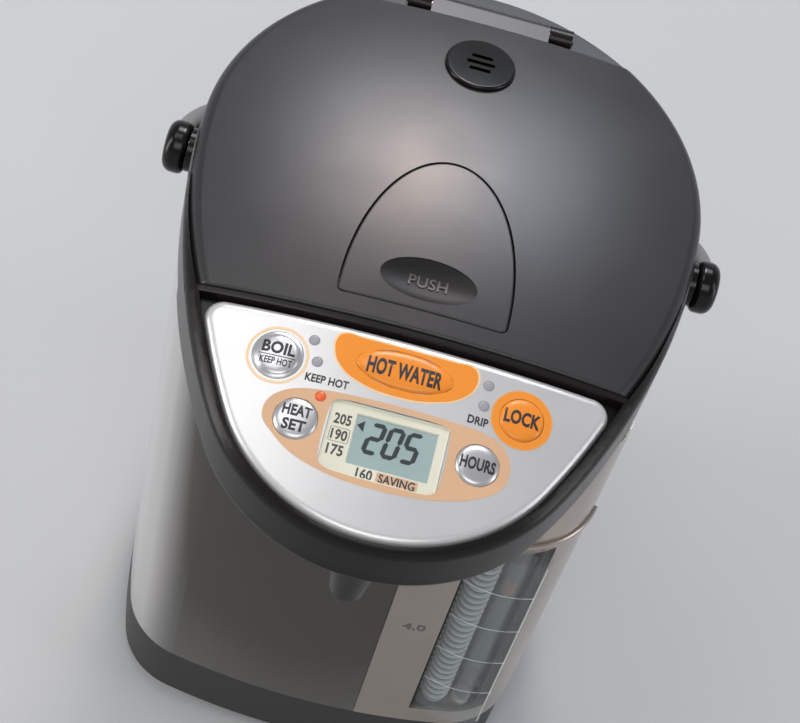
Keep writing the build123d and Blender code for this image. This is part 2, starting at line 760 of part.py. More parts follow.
def build_spout():
    """Tapered nozzle below the nose with the pipe that feeds it."""
    top = nose_bottom_z + housing_wall
    taper = Cone(spout_tip_radius, spout_base_radius, nose_bottom_z - spout_tip_z)
    body = Pos(0, spout_y, (spout_tip_z + nose_bottom_z) / 2) * taper
    body += post(spout_base_radius - 2, nose_bottom_z, top + spout_flange, 0, spout_y)
    body += post(spout_base_radius, top, top + spout_flange, 0, spout_y)
    body -= post(spout_bore, 0, far, 0, spout_y)
    body -= post(spout_tip_radius - 1.5, 0, spout_tip_z + 6, 0, spout_y)
    pipe_end = nose_bottom_z + 1.0
    body -= post(pipe_radius + 0.05, pipe_end, far, 0, spout_y)
    tip = body.edges().filter_by(GeomType.CIRCLE).group_by(Axis.Z)[0]
    keep("spout", fillet(tip, 0.5))
    points = [
        (gauge_x, gauge_y, gauge_tube_top_z),
        (gauge_x, gauge_y, cross_pipe_z),
        (0, spout_y, cross_pipe_z),
        (0, spout_y, pipe_end),
    ]
    keep("spout_pipe", tube_along(points, cross_pipe_bend, pipe_radius, pipe_radius - pipe_wall))


# ---------------------------------------------------------------- control panel
def build_panel():
    """Silver panel, its buttons, lamps, display and board."""
    zone = slab(-far, far, -far, panel_edge_y, 0, far)
    plate = prism(egg(panel_half_width, panel_reach), 0, far) & zone
    corners = plate.edges().filter_by(Axis.Z).group_by(Axis.Y)[-1]
    plate = fillet(corners, panel_corner)
    plate = plate & cover_form
    plate -= envelope(panel_rim_depth)
    rolled = []
    for edge in plate.edges():
        middle = edge @ 0.5
        if abs(middle.Z - nose_height(middle.X, middle.Y)) < 0.2 and edge.length > 2:
            rolled.append(edge)
    plate = fillet(rolled, panel_roll)
    rim = egg(panel_half_width, panel_reach, inset=panel_rim_width)
    inside = slab(-far, far, -far, panel_edge_y - panel_rim_width, 0, far)
    plate -= prism(rim, 0, far) & inside & envelope(panel_thickness)
    root = 0.5 - panel_thickness
    for x, s in post_places:
        depth = root - board_level(x)
        plate += on_slope(x, s, root - depth / 2) * Cylinder(post_radius, depth)
    hole_gap = button_gap
    cuts = []
    for x, s, size in round_buttons.values():
        cuts.append(on_panel(x, s) * Cylinder(size / 2 + hole_gap, 12))
    oval = Ellipse(dispense_length / 2 + hole_gap, dispense_width / 2 + hole_gap)
    cuts.append(on_panel(dispense_x, dispense_s, -6) * extrude(oval, amount=12))
    for x, s in lamps:
        cuts.append(on_panel(x, s) * Cylinder(lamp_radius + 0.05, 12))
    glass_box = Box(display_width, display_length, display_glass)
    cuts.append(on_slope(display_x, display_s) *
                Box(display_width + seam_gap, display_length + seam_gap, 12))
    for cut in cuts:
        plate -= cut
    keep("control_panel", plate)

    glass_mid = -display_recess - display_glass / 2
    keep("display_window", on_slope(display_x, display_s, glass_mid) * glass_box)
    module_top = -display_recess - display_glass - 0.1
    module = Box(display_width - module_border * 2, display_length - module_border * 2,
                 module_top - board_level(display_x))
    module_mid = (module_top + board_level(display_x)) / 2
    keep("display_module", on_slope(display_x, display_s, module_mid) * module)

    plan = egg(panel_half_width, panel_reach, inset=board_inset)
    front_y = panel_edge_y - board_front_s * math.cos(slope)
    zone = slab(-far, far, front_y, panel_edge_y - board_inset, 0, far)
    tray = prism(plan, 0, far) & zone
    flat = on_slope(0, board_front_s / 2, board_level(0) - board_thickness / 2)
    board = tray & (flat * Box(far, far, board_thickness))
    keep("control_board", board)

    caps = {}
    for name, (x, s, size) in round_buttons.items():
        caps[name] = (x, s, Circle(size / 2), Circle(size / 2 + button_flange))
    caps["dispense_button"] = (
        dispense_x, dispense_s, Ellipse(dispense_length / 2, dispense_width / 2),
        Ellipse(dispense_length / 2 + button_flange, dispense_width / 2 + button_flange))
    under = -panel_thickness - flange_gap
    low_face = under - button_flange_thickness
    switches = []
    for name, (x, s, face, flange) in caps.items():
        cap = extrude(face, amount=button_rise - under)
        cap = fillet(cap.edges().group_by(Axis.Z)[-1], button_edge)
        cap = Pos(0, 0, under) * cap
        cap += Pos(0, 0, low_face) * extrude(flange, amount=button_flange_thickness)
        keep(name, on_panel(x, s) * cap)
        low = board_level(x)
        high = low_face - button_travel - running_gap * 2
        body = Box(switch_size, switch_size, high - low)
        switches.append(on_slope(x, s, (low + high) / 2) * body)
    keep("switches", Compound(switches))

    lights = []
    for x, s in lamps:
        lens = Pos(0, 0, 0.1 - lamp_height / 2) * Cylinder(lamp_radius, lamp_height)
        lights.append(on_panel(x, s) * lens)
    keep("indicator_lamps", Compound(lights))


# ---------------------------------------------------------------- lid
def lever_outline(grow):
    """The lever's plan: a straight front edge under a tall round arch."""
    half = lever_front_half + grow
    side_y = lever_front_y + lever_side_length
    front_y = lever_front_y - grow
    arch = Pos(0, side_y) * Ellipse(half, lever_apex_y - side_y + grow)
    arch = arch & (Pos(0, side_y + far / 2) * Rectangle(far, far))
    face = arch + Pos(0, (front_y + side_y) / 2) * Rectangle(half * 2, side_y - front_y)
    return fillet(face.vertices().group_by(Axis.Y)[0], lever_corner_radius + grow)


def build_lid():
    """Lid shell, liner, plug, gasket and steam vent."""
    inner_plan = lid_outline(lid_inset + lid_wall, lid_front_y + lid_wall, lid_rear_y - lid_wall)
    shell = prism(lid_plan(0, lid_front_y, lid_rear_y), lid_edge_z, far) & cover_form
    upper = [e for e in shell.edges() if e.length > 40 and e.center().Z > lid_edge_z + 4]
    shell = fillet([e for e in upper if abs(e.center().X) > lid_half_width / 2], lid_roll)
    ends = [e for e in shell.edges() if e.length > 40 and e.center().Z > lid_edge_z + 4
            and min(abs(e.center().Y - lid_front_y), abs(e.center().Y - lid_rear_y)) < 0.1]
    shell = fillet(ends, 1.5)
    skirt = lid_outline(lid_inset, lid_front_y, lid_rear_y)
    shell += prism(skirt, lid_skirt_z, lid_edge_z + 1)
    shell -= prism(inner_plan, 0, far) & envelope(lid_wall)
    block = prism(lever_outline(lever_gap + lever_well_wall),
                  lever_well_floor_z - lever_well_wall, far) & envelope(lid_wall / 2)
    shell += block
    shell -= prism(lever_outline(lever_gap), lever_well_floor_z, far)
    link = slab(-knuckle_half_width, knuckle_half_width, lid_rear_y - 1, hinge_y,
                hinge_z - knuckle_radius, hinge_z + knuckle_radius)
    shell += link
    shell += cross_post(knuckle_radius, -knuckle_half_width, knuckle_half_width, hinge_y, hinge_z)
    shell -= cross_post(hinge_pin_radius + shaft_gap, -far, far, hinge_y, hinge_z)
    slot = bolt_half_width + running_gap
    shell -= slab(-slot, slot, lid_front_y - 1, lid_front_y + lid_wall + 1,
                  bolt_z - running_gap, bolt_z + bolt_thickness + running_gap)
    shell -= post(vent_tube_radius + seam_gap, 0, far, 0, vent_y)
    pin_reach = lever_half_width(lever_pivot_y) + lever_gap + lever_well_wall
    shell -= cross_post(lever_pin_radius, -pin_reach, pin_reach, lever_pivot_y, lever_pivot_z)
    keep("lid_shell", shell)
    keep("lever_pin", cross_post(lever_pin_radius - 0.01, -pin_reach, pin_reach,
                                 lever_pivot_y, lever_pivot_z))

    liner_low = lid_skirt_z - liner_thickness
    plan = lid_outline(liner_inset, lid_front_y + lid_wall, lid_rear_y - lid_wall)
    liner = prism(plan, liner_low, lid_skirt_z)
    liner += ring(plug_radius, plug_radius - lid_wall, liner_low - plug_depth, liner_low + 0.5)
    liner -= post(steam_hole_radius, 0, far, 0, steam_hole_y)
    keep("lid_liner", liner)
    cover_low = liner_low - plug_depth
    cover = post(plug_radius + 1.5, cover_low - inner_lid_thickness, cover_low)
    cover -= post(steam_hole_radius, 0, far, 0, steam_hole_y)
    keep("inner_lid", cover)
    keep("lid_gasket", ring(plug_radius + gasket_width, plug_radius + 0.05,
                            well_floor_z + running_gap, liner_low))

    crown = dome_centre_z + math.sqrt(dome_radius**2 - vent_y**2)
    cap = post(vent_radius, lid_skirt_z, far, 0, vent_y) & envelope(-vent_flange)
    rim = [e for e in cap.edges() if e.center().Z > crown]
    cap = fillet(rim, vent_flange * 0.6)
    cap -= cover_form
    cap += post(vent_tube_radius, lid_skirt_z, crown + vent_flange / 2, 0, vent_y)
    cap -= post(vent_tube_radius - 1.5, 0, crown + 0.6, 0, vent_y)
    for i in (-1, 0, 1):
        slot_y = vent_y + i * vent_slot_pitch
        reach = math.sqrt((vent_tube_radius - 2)**2 - (slot_y - vent_y)**2)
        cap -= slab(-reach, reach, slot_y - vent_slot_width / 2, slot_y + vent_slot_width / 2,
                    crown - 1, far)
    keep("steam_vent", cap)


def lever_half_width(y):
    """Half width of the lever at a place along it."""
    strip = slab(-far, far, y - 0.1, y + 0.1, 0, 1)
    cut = extrude(lever_outline(0), amount=1) & strip
    return cut.bounding_box().max.X


def build_lever():
    """Press lever in the lid and the bolt that it draws back."""
    lever = prism(lever_outline(0), lever_bottom_z, far) & cover_form
    top_edges = [e for e in lever.edges() if e.center().Z > lever_bottom_z + 1.5
                 and abs((e @ 0).Z - (e @ 1).Z) < 2.9 and e.length > 2]
    lever = fillet(top_edges, 0.8)
    half = lever_half_width(lever_pivot_y + lever_boss_radius)
    lever += cross_post(lever_boss_radius, -half, half, lever_pivot_y, lever_pivot_z)
    lever -= cross_post(lever_pin_radius + shaft_gap, -far, far, lever_pivot_y, lever_pivot_z)
    dip = height - (push_y**2) / (2 * dome_radius) - push_depth
    run = push_depth * math.tan(math.radians(push_draft))
    floor_oval = Ellipse(push_length / 2 - run, push_width / 2 - run)
    lever -= Pos(0, push_y, dip) * extrude(floor_oval, amount=push_depth * 2, taper=-push_draft)
    keep("lid_lever", lever)
    front = lid_front_y - lid_gap + bolt_gap_to_strike
    keep("latch_bolt", slab(-bolt_half_width, bolt_half_width, front, front + bolt_length,
                            bolt_z, bolt_z + bolt_thickness))


# ---------------------------------------------------------------- vessel and heater
def vessel_form(radius, neck, z0, shoulder, neck_z, z1):
    """Solid of a jar: a cylinder, a conical shoulder and a neck."""
    form = post(radius, z0, shoulder)
    form += Pos(0, 0, (shoulder + neck_z) / 2) * Cone(radius, neck, neck_z - shoulder)
    return form + post(neck, neck_z, z1)


def build_vessel():
    """Inner vessel in three pressings, vacuum jacket, gasket, heater and sensor."""
    wall = vessel_wall
    outside = vessel_form(vessel_radius + wall, neck_radius + wall, vessel_floor_z,
                          vessel_shoulder_z, neck_base_z, mouth_z)
    outside = fillet(outside.edges().group_by(Axis.Z)[0], floor_corner)
    inside = vessel_form(vessel_radius, neck_radius, vessel_floor_z + wall,
                         vessel_shoulder_z, neck_base_z - wall * 0.3, mouth_z + 1)
    inside = fillet(inside.edges().group_by(Axis.Z)[0], floor_corner - wall)
    outside += post(flange_radius, mouth_z - flange_thickness, mouth_z)
    outside += post(spigot_radius, vessel_floor_z - 8, vessel_floor_z + 0.5)
    outside -= inside
    outside -= post(spigot_radius - spigot_wall, 0, vessel_floor_z + 5)
    above = slab(-far, far, -far, far, vessel_shoulder_z, far)
    below = slab(-far, far, -far, far, 0, vessel_floor_z + wall + floor_edge)
    keep("inner_vessel", outside - above - below)
    keep("neck_ring", outside & above)
    keep("vessel_floor", outside & below)

    neck = neck_radius + wall
    skin = vessel_form(jacket_radius, neck + 3, jacket_floor_z,
                       vessel_shoulder_z + 2, neck_base_z + 8, neck_base_z + 8.5)
    hollow = vessel_form(jacket_radius - wall, neck + 3 - wall, jacket_floor_z + wall,
                         vessel_shoulder_z + 1, neck_base_z + 7, neck_base_z + 7.5)
    skin -= hollow
    skin -= post(neck, neck_base_z, far)
    skin += ring(jacket_hole_radius + wall, jacket_hole_radius, jacket_floor_z, vessel_floor_z)
    skin -= post(jacket_hole_radius, 0, vessel_floor_z)
    keep("vacuum_jacket", skin)

    keep("mouth_gasket", ring(flange_radius, mouth_radius, mouth_z, shoulder_z))
    keep("heater", ring(heater_outer, heater_inner, vessel_floor_z - heater_thickness,
                        vessel_floor_z))
    sensor = post(sensor_radius, vessel_floor_z - sensor_height, vessel_floor_z,
                  0, sensor_offset - 2)
    keep("thermal_sensor", sensor)


# ---------------------------------------------------------------- pump
def build_pump():
    """Motor, pump, impeller and the pipes to and from it."""
    motor = post(motor_radius, motor_floor_z, pump_floor_z)
    motor -= post(shaft_radius + shaft_gap, pump_floor_z - shaft_depth, pump_floor_z + 1)
    keep("pump_motor", motor)

    chamber_r = pump_radius - pump_wall
    chamber_low = pump_floor_z + pump_plate
    chamber_high = pump_top_z - pump_plate
    shell = post(pump_radius, pump_floor_z, pump_top_z)
    shell += post(spigot_radius, pump_top_z - 1, pump_top_z + 5)
    turn = math.degrees(math.atan2(gauge_y, gauge_x))
    bore = pipe_radius - pipe_wall - 0.1
    aim = Pos(0, 0, delivery_z) * Rot(0, 0, turn) * Rot(0, 90, 0)
    shell += aim * (Pos(0, 0, pump_radius + 2) * Cylinder(bore, 14))
    shell -= post(chamber_r, chamber_low, chamber_high)
    shell -= post(spigot_radius - spigot_wall, chamber_high - 1, far)
    shell -= post(shaft_radius + shaft_gap, 0, chamber_low + 1)
    shell -= aim * (Pos(0, 0, pump_radius + 2) * Cylinder(bore - 1.0, 20))
    keep("pump_housing", shell)

    low = chamber_low + 1.0
    wheel = post(impeller_radius, low, low + impeller_disc)
    vane = slab(shaft_radius + 2, impeller_radius - 1, -0.8, 0.8,
                low + impeller_disc - 0.5, low + impeller_disc + impeller_vane_height)
    for i in range(impeller_vanes):
        wheel += Rot(0, 0, i * 360 / impeller_vanes) * vane
    wheel += post(shaft_radius + 3, low, low + impeller_disc + 2)
    wheel += post(shaft_radius, pump_floor_z - shaft_depth + 0.5, low + 1)
    keep("pump_impeller", wheel)

    keep("outlet_hose", ring(spigot_radius + hose_wall, spigot_radius + 0.05,
                             pump_top_z, vessel_floor_z))
    ux, uy = gauge_x / gauge_run, gauge_y / gauge_run
    start = pump_radius + 0.3
    points = [(ux * start, uy * start, delivery_z), (gauge_x, gauge_y, delivery_z),
              (gauge_x, gauge_y, gauge_tube_bottom_z)]
    keep("delivery_pipe", tube_along(points, pipe_bend, pipe_radius, pipe_radius - pipe_wall))


# ---------------------------------------------------------------- handle
def build_handle():
    """Carrying bail with its hubs, and the pivots and washers it turns on."""
    straight = Pos(0, handle_straight / 2)
    outer = handle_half_width + handle_thickness
    reach = handle_reach - handle_straight
    wide = egg(outer, reach + handle_thickness, handle_bow + handle_thickness)
    slim = egg(handle_half_width, reach, handle_bow)
    loop = Rot(0, 0, 180) * (wide - slim)
    loop = loop & (Pos(0, far / 2) * Rectangle(far, far))
    loop = Pos(0, handle_straight) * loop
    legs = []
    for side in (-1, 1):
        x = side * (handle_half_width + handle_thickness / 2)
        legs.append(Pos(x, handle_straight / 2) * Rectangle(handle_thickness, handle_straight))
    bail = extrude(loop, amount=handle_depth / 2, both=True)
    for leg in legs:
        bail += extrude(leg, amount=handle_depth / 2, both=True)
    long_edges = [e for e in bail.edges() if e.length > handle_straight * 0.9]
    bail = fillet(long_edges, handle_edge)
    place = Pos(0, pivot_y, pivot_z) * Rot(-handle_drop, 0, 0)
    bail = place * bail
    hubs = []
    for side in (-1, 1):
        x0, x1 = sorted((side * hub_face_x, side * (hub_face_x + hub_width)))
        clear = cross_post(hub_radius - 0.4, x0, x1, pivot_y, pivot_z)
        bail -= clear
        hub = cross_post(hub_radius, x0, x1, pivot_y, pivot_z)
        outer_face = hub.edges().filter_by(GeomType.CIRCLE).group_by(Axis.X)[-1 if side > 0 else 0]
        hub = fillet(outer_face, hub_edge)
        inner_face = hub.edges().filter_by(GeomType.CIRCLE).group_by(Axis.X)[0 if side > 0 else -1]
        hub = fillet(inner_face, hub_inner_edge)
        b0, b1 = sorted((side * (hub_face_x - 1), side * (hub_face_x + hub_width / 2)))
        hub -= cross_post(pivot_radius + shaft_gap, b0, b1, pivot_y, pivot_z)
        hubs.append(hub)
    for hub in hubs:
        bail -= hub
    bail -= cross_post(pivot_radius + 1, -far, far, pivot_y, pivot_z)
    keep("carry_handle", bail)
    keep("handle_hubs", Compound(hubs))

    pins = []
    washers = []
    solid_plan = prism(egg(housing_half_width, nose_reach), 0, far)
    for side in (-1, 1):
        inner = housing_half_width - pivot_depth - 0.4
        x0, x1 = sorted((side * inner, side * (hub_face_x + hub_width / 2 - running_gap)))
        pins.append(cross_post(pivot_radius - 0.01, x0, x1, pivot_y, pivot_z))
        x0, x1 = sorted((side * (housing_half_width - 2), side * (hub_face_x - running_gap)))
        washer = cross_post(washer_radius, x0, x1, pivot_y, pivot_z)
        washer -= solid_plan
        washers.append(washer - cross_post(pivot_radius, -far, far, pivot_y, pivot_z))
    keep("handle_pivots", Compound(pins))
    keep("handle_washers", Compound(washers))


build_base()
build_power()
build_body()
build_gauge()
build_housing()
build_nose_cover()
build_spout()
build_panel()
build_lid()
build_lever()
build_vessel()
build_pump()
build_handle()

os.makedirs("parts", exist_ok=True)
for name, shape in nodes.items():
    export_step(shape, f"parts/{name}.step")
print(len(nodes), "nodes")
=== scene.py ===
# %% [markdown]
# # An electric thermo pot
# The pot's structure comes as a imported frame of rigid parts. This script gives each part its
# finish, adds the printing, the display and the gauge marks, and sets a camera and soft light.
# The frame is loaded first, because every finish and every added piece goes on one of its parts.

# %% Load the frame
import math
from collections import namedtuple

import bmesh
import bpy
from mathutils import Matrix, Vector
from mathutils.bvhtree import BVHTree


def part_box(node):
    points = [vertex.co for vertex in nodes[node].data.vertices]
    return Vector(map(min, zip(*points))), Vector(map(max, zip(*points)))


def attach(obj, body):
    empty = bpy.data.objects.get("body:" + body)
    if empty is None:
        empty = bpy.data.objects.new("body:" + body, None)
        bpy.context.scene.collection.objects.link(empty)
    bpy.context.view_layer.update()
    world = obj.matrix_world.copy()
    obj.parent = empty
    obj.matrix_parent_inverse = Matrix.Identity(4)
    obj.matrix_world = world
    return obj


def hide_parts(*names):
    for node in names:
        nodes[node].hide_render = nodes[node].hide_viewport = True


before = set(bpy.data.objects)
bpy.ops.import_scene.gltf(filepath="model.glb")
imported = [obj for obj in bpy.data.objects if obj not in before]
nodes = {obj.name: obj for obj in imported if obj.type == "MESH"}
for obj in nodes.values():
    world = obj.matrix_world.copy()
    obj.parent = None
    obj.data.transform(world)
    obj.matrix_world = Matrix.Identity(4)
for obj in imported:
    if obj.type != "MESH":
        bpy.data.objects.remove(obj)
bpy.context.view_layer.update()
MM = 0.001
print("parts in the frame:", len(nodes))

# %% [markdown]
# ## Camera
# The pot is seen from above and in front, a little from its left, with the camera rolled
# clockwise. A long lens is used, because the straight sides hardly converge. The place is
# written as an eye point with a compass turn, a downward tilt and a roll, so each can be
# changed by itself.

# %% Camera
EYE = Vector((-27.9, -579.1, 957.1)) * MM
TILT_DOWN = math.radians(53.0)
TURN = math.radians(2.95)
ROLL = math.radians(17.29)
LENS_MM = 94.9
SENSOR_MM = 36.0
NEAREST = 0.05
FARTHEST = 30.0


def add_camera():
    """A camera at the eye point, tilted down, turned and rolled."""
    data = bpy.data.cameras.new("pot_camera")
    data.lens = LENS_MM
    data.sensor_width = SENSOR_MM
    data.clip_start = NEAREST
    data.clip_end = FARTHEST
    camera = bpy.data.objects.new("pot_camera", data)
    bpy.context.scene.collection.objects.link(camera)
    look = (Matrix.Rotation(-TURN, 4, "Z") @ Matrix.Rotation(math.pi / 2 - TILT_DOWN, 4, "X")
            @ Matrix.Rotation(ROLL, 4, "Z"))
    camera.matrix_world = Matrix.Translation(EYE) @ look
    bpy.context.scene.camera = camera
    return camera


camera = add_camera()
looking = camera.matrix_world.to_3x3() @ Vector((0, 0, -1))
print("camera looks along", [round(v, 3) for v in looking])

# %% [markdown]
# ## Node trees
# A finish in Blender is a small graph of nodes: each socket of a node either holds a value or is
# fed by another node. It could be written out as one line per socket and per link, but one helper
# that adds a node and fills its sockets keeps each recipe below short enough to read.

# %% Node helpers


def node_material(name):
    """An empty node material and its tree."""
    material = bpy.data.materials.new(name)
    material.use_nodes = True
    material.node_tree.nodes.clear()
    return material, material.node_tree


def feed(tree, node, sockets):
    """Fill a node's sockets, each with a value or a link, and hand back its outputs."""
    for key, source in sockets.items():
        if isinstance(source, bpy.types.NodeSocket):
            tree.links.new(source, node.inputs[key])
        else:
            node.inputs[key].default_value = source
    return node.outputs


def add_node(tree, kind, sockets=None, operation=None):
    """Add a node with filled sockets and hand back its outputs."""
    node = tree.nodes.new(f"ShaderNode{kind}")
    if operation:
        node.operation = operation
    return feed(tree, node, sockets or {})


def mix_colour(tree, share, first, second):
    """The first colour, turned into the second by a share from 0 to 1."""
    mix = tree.nodes.new("ShaderNodeMix")
    mix.data_type = "RGBA"
    return feed(tree, mix, {"Factor": share, "A": first, "B": second})["Result"]


def mottled(tree, amount, colour, spread, low, high):
    """A colour that grows from darker to lighter while an amount goes from low to high."""
    ramp = tree.nodes.new("ShaderNodeValToRGB")
    darker, lighter = ramp.color_ramp.elements
    darker.position = low
    lighter.position = high
    darker.color = (*[c * (1 - spread) for c in colour], 1)
    lighter.color = (*[c * (1 + spread) for c in colour], 1)
    return feed(tree, ramp, {"Fac": amount})["Color"]


# %% [markdown]
# ## Floor
# The pot stands on a pale blue-grey floor that runs on behind it. The lamps only reach its
# middle, so far from the pot the floor would sink into grey. There it gets a little light of its
# own, which only shows to the eye, in reflections and through glass, and never lights the pot.
# Stronger lamps could reach that far too, but they would change the light on the pot.

# %% Floor
FLOOR_COLOUR = (0.560, 0.570, 0.580)
FLOOR_HALF_WIDTH = 6.0
FLOOR_MOTTLE = 0.04
FLOOR_MOTTLE_SCALE = 3.0
GLOW_STARTS = 0.5       # metres from the pot's middle
GLOW_FULL = 2.6
GLOW_STRENGTH = 0.62


def floor_paper():
    """Faintly mottled paper, with a glow that grows away from the pot."""
    material, tree = node_material("floor_paper")
    place = add_node(tree, "TexCoord")["Object"]
    cloud = add_node(tree, "TexNoise", {"Vector": place, "Scale": FLOOR_MOTTLE_SCALE})["Fac"]
    colour = mottled(tree, cloud, FLOOR_COLOUR, FLOOR_MOTTLE, 0.0, 1.0)
    paper = add_node(tree, "BsdfDiffuse", {"Color": colour})["BSDF"]
    far = add_node(tree, "VectorMath", {0: place}, "LENGTH")["Value"]
    lift = add_node(tree, "MapRange", {"Value": far, "From Min": GLOW_STARTS,
                                       "From Max": GLOW_FULL, "To Max": GLOW_STRENGTH})["Result"]
    rays = add_node(tree, "LightPath")
    seen = rays["Is Camera Ray"]
    for ray in ("Is Glossy Ray", "Is Transmission Ray"):
        seen = add_node(tree, "Math", {0: seen, 1: rays[ray]}, "MAXIMUM")["Value"]
    strength = add_node(tree, "Math", {0: seen, 1: lift}, "MULTIPLY")["Value"]
    glow = add_node(tree, "Emission", {"Color": colour, "Strength": strength})["Emission"]
    both = add_node(tree, "AddShader", {0: paper, 1: glow})["Shader"]
    add_node(tree, "OutputMaterial", {"Surface": both})
    return material


def add_floor():
    """A wide flat floor."""
    mesh = bpy.data.meshes.new("studio_floor")
    bm = bmesh.new()
    bmesh.ops.create_grid(bm, x_segments=1, y_segments=1, size=FLOOR_HALF_WIDTH)
    bm.to_mesh(mesh)
    bm.free()
    mesh.materials.append(floor_paper())
    floor = bpy.data.objects.new("studio_floor", mesh)
    bpy.context.scene.collection.objects.link(floor)
    return floor


floor = add_floor()
print("floor:", floor.name, "with", floor.data.materials[0].name)

# %% [markdown]
# ## World and lamps
# Colours are to show about as they are written, so the plain Standard view is chosen instead of
# a film-like one. The world is pale along the horizon and dimmer overhead, which fills the
# shadows. A large cool softbox hangs behind and above, where the domed lid mirrors it as one
# broad soft glow, and a small warm lamp before it gives the glow its warm heart. One lamp
# overhead brightens the panel, two tall ones draw the pale edges on the metal body, and a wide
# one in front fills the shade under the nose.

# %% World
bpy.context.scene.view_settings.view_transform = "Standard"
OVERHEAD = (0.292, 0.299, 0.313, 1.0)
HORIZON = (0.600, 0.620, 0.650, 1.0)
DIM_FROM = 0.05         # how far up a direction points, from 0 at the horizon to 1
DIM_TO = 0.45


def light_world():
    """A pale world, dimmer overhead than along the horizon."""
    world = bpy.data.worlds.new("studio_world")
    bpy.context.scene.world = world
    world.use_nodes = True
    tree = world.node_tree
    way = add_node(tree, "TexCoord")["Generated"]
    up = add_node(tree, "SeparateXYZ", {"Vector": way})["Z"]
    climb = add_node(tree, "MapRange", {"Value": up, "From Min": DIM_FROM, "From Max": DIM_TO})
    sky = mix_colour(tree, climb["Result"], HORIZON, OVERHEAD)
    feed(tree, tree.nodes["Background"], {"Color": sky})
    return world


print("world:", light_world().name)

# %% Lamps
LID_CENTRE = (0.0, 0.0, 0.33)
PANEL_CENTRE = (-0.03, -0.12, 0.32)
NOSE_FOOT = (0, -0.1, 0.25)
BODY_MIDDLE = (0, 0, 0.2)
WALL_SIZE = (0.5, 1.6)


def add_softbox(name, place, aim, size, power, colour):
    """A rectangular lamp at a place, pointed at a spot."""
    data = bpy.data.lights.new(name, "AREA")
    data.shape = "RECTANGLE"
    data.size, data.size_y = size
    data.energy = power
    data.color = colour
    lamp = bpy.data.objects.new(name, data)
    bpy.context.scene.collection.objects.link(lamp)
    lamp.location = place
    lamp.rotation_euler = (Vector(aim) - Vector(place)).to_track_quat("-Z", "Y").to_euler()
    return lamp


add_softbox("cool_box", (0.02, 1.02, 1.50), LID_CENTRE, size=(0.72, 0.50), power=11.0,
            colour=(0.76, 0.87, 1.0))
add_softbox("warm_heart", (-0.05, 0.70, 1.22), LID_CENTRE, size=(0.17, 0.17), power=3.0,
            colour=(1.0, 0.70, 0.52))
add_softbox("panel_glow", (-0.42, 0.10, 1.60), PANEL_CENTRE, size=(0.50, 0.50), power=2.2,
            colour=(1.0, 0.99, 0.98))
add_softbox("left_wall", (-1.5, -0.35, 0.7), BODY_MIDDLE, size=WALL_SIZE, power=13.0,
            colour=(1.0, 0.98, 0.96))
add_softbox("right_wall", (1.5, -0.25, 0.7), BODY_MIDDLE, size=WALL_SIZE, power=5.5,
            colour=(0.97, 0.98, 1.0))
add_softbox("front_fill", (0.0, -1.3, 1.9), NOSE_FOOT, size=(1.2, 0.8), power=8.5,
            colour=(1.0, 0.99, 0.97))

# %% [markdown]
# ## Where a finish changes
# Three finishes change from spot to spot. Lacquered metal gets a painted reflection of the pale
# room where it is seen at a glancing angle, a ribbed rod gets painted shade in its grooves, and
# the lid's plastic holds bright flecks. Each effect is a share from 0 to 1, which later mixes a
# second colour into the first. The flecks and ribs could be modelled, but at this size they only
# show as a change of tone.

# %% Shares of a second colour
GLANCE_FROM = 0.52
GLANCE_TO = 0.70
FLECKS_PER_METRE = 2600.0
FLECK_RADIUS = 0.25     # as a share of the distance between flecks
RIDGE_ENDS = 0.5        # along a wave that is 1 on a rib and -1 between two ribs
GROOVE_DEEPEST = -0.9


def glance_reflection_share(tree):
    """A painted reflection, more where the surface is seen at a glancing angle."""
    facing = add_node(tree, "LayerWeight", {"Blend": 0.5})["Facing"]
    return add_node(tree, "MapRange", {"Value": facing, "From Min": GLANCE_FROM,
                                       "From Max": GLANCE_TO})["Result"]


def groove_shade_share(tree, place, pitch, start):
    """Painted shade, more in the grooves between ribs, which repeat up the z axis."""
    up = add_node(tree, "SeparateXYZ", {"Vector": place})["Z"]
    turn = add_node(tree, "Math", {0: up, 1: math.tau / pitch, 2: -math.tau * start / pitch},
                    "MULTIPLY_ADD")["Value"]
    wave = add_node(tree, "Math", {0: turn}, "COSINE")["Value"]
    return add_node(tree, "MapRange", {"Value": wave, "From Min": RIDGE_ENDS,
                                       "From Max": GROOVE_DEEPEST})["Result"]


def fleck_share(tree, place, most):
    """Scattered flecks, up to the given share in the middle of each."""
    gap = add_node(tree, "TexVoronoi", {"Vector": place, "Scale": FLECKS_PER_METRE})["Distance"]
    return add_node(tree, "MapRange", {"Value": gap, "From Min": FLECK_RADIUS, "From Max": 0.0,
                                       "To Max": most})["Result"]


# %% [markdown]
# ## A base for all the finishes
# Moulded plastic, lacquer and steel differ in colour, gloss and grain, but are built the same
# way: a colour with a little slow mottling, a roughness that varies slightly, and a fine bump.
# One function makes that tree, and each finish below gives it its own numbers.

# %% Finish builder
MOTTLE_DETAIL = 4.0
GRAIN_DETAIL = 3.0
DARKEST_AT = 0.3        # the noise seldom leaves the range between these two
LIGHTEST_AT = 0.7
GLOSS_WANDER = 0.05
LEAST_ROUGHNESS = 0.02
GRAIN_HEIGHT = 0.0002
FLECK_GAIN = 4          # a fleck is this much brighter than the plastic round it
FLECK_LIFT = 0.06


def tone(*levels):
    """A colour from three screen levels, 0 to 255, as the shader's linear values."""
    return tuple(((v / 255 + 0.055) / 1.055) ** 2.4 if v > 10 else v / 255 / 12.92 for v in levels)


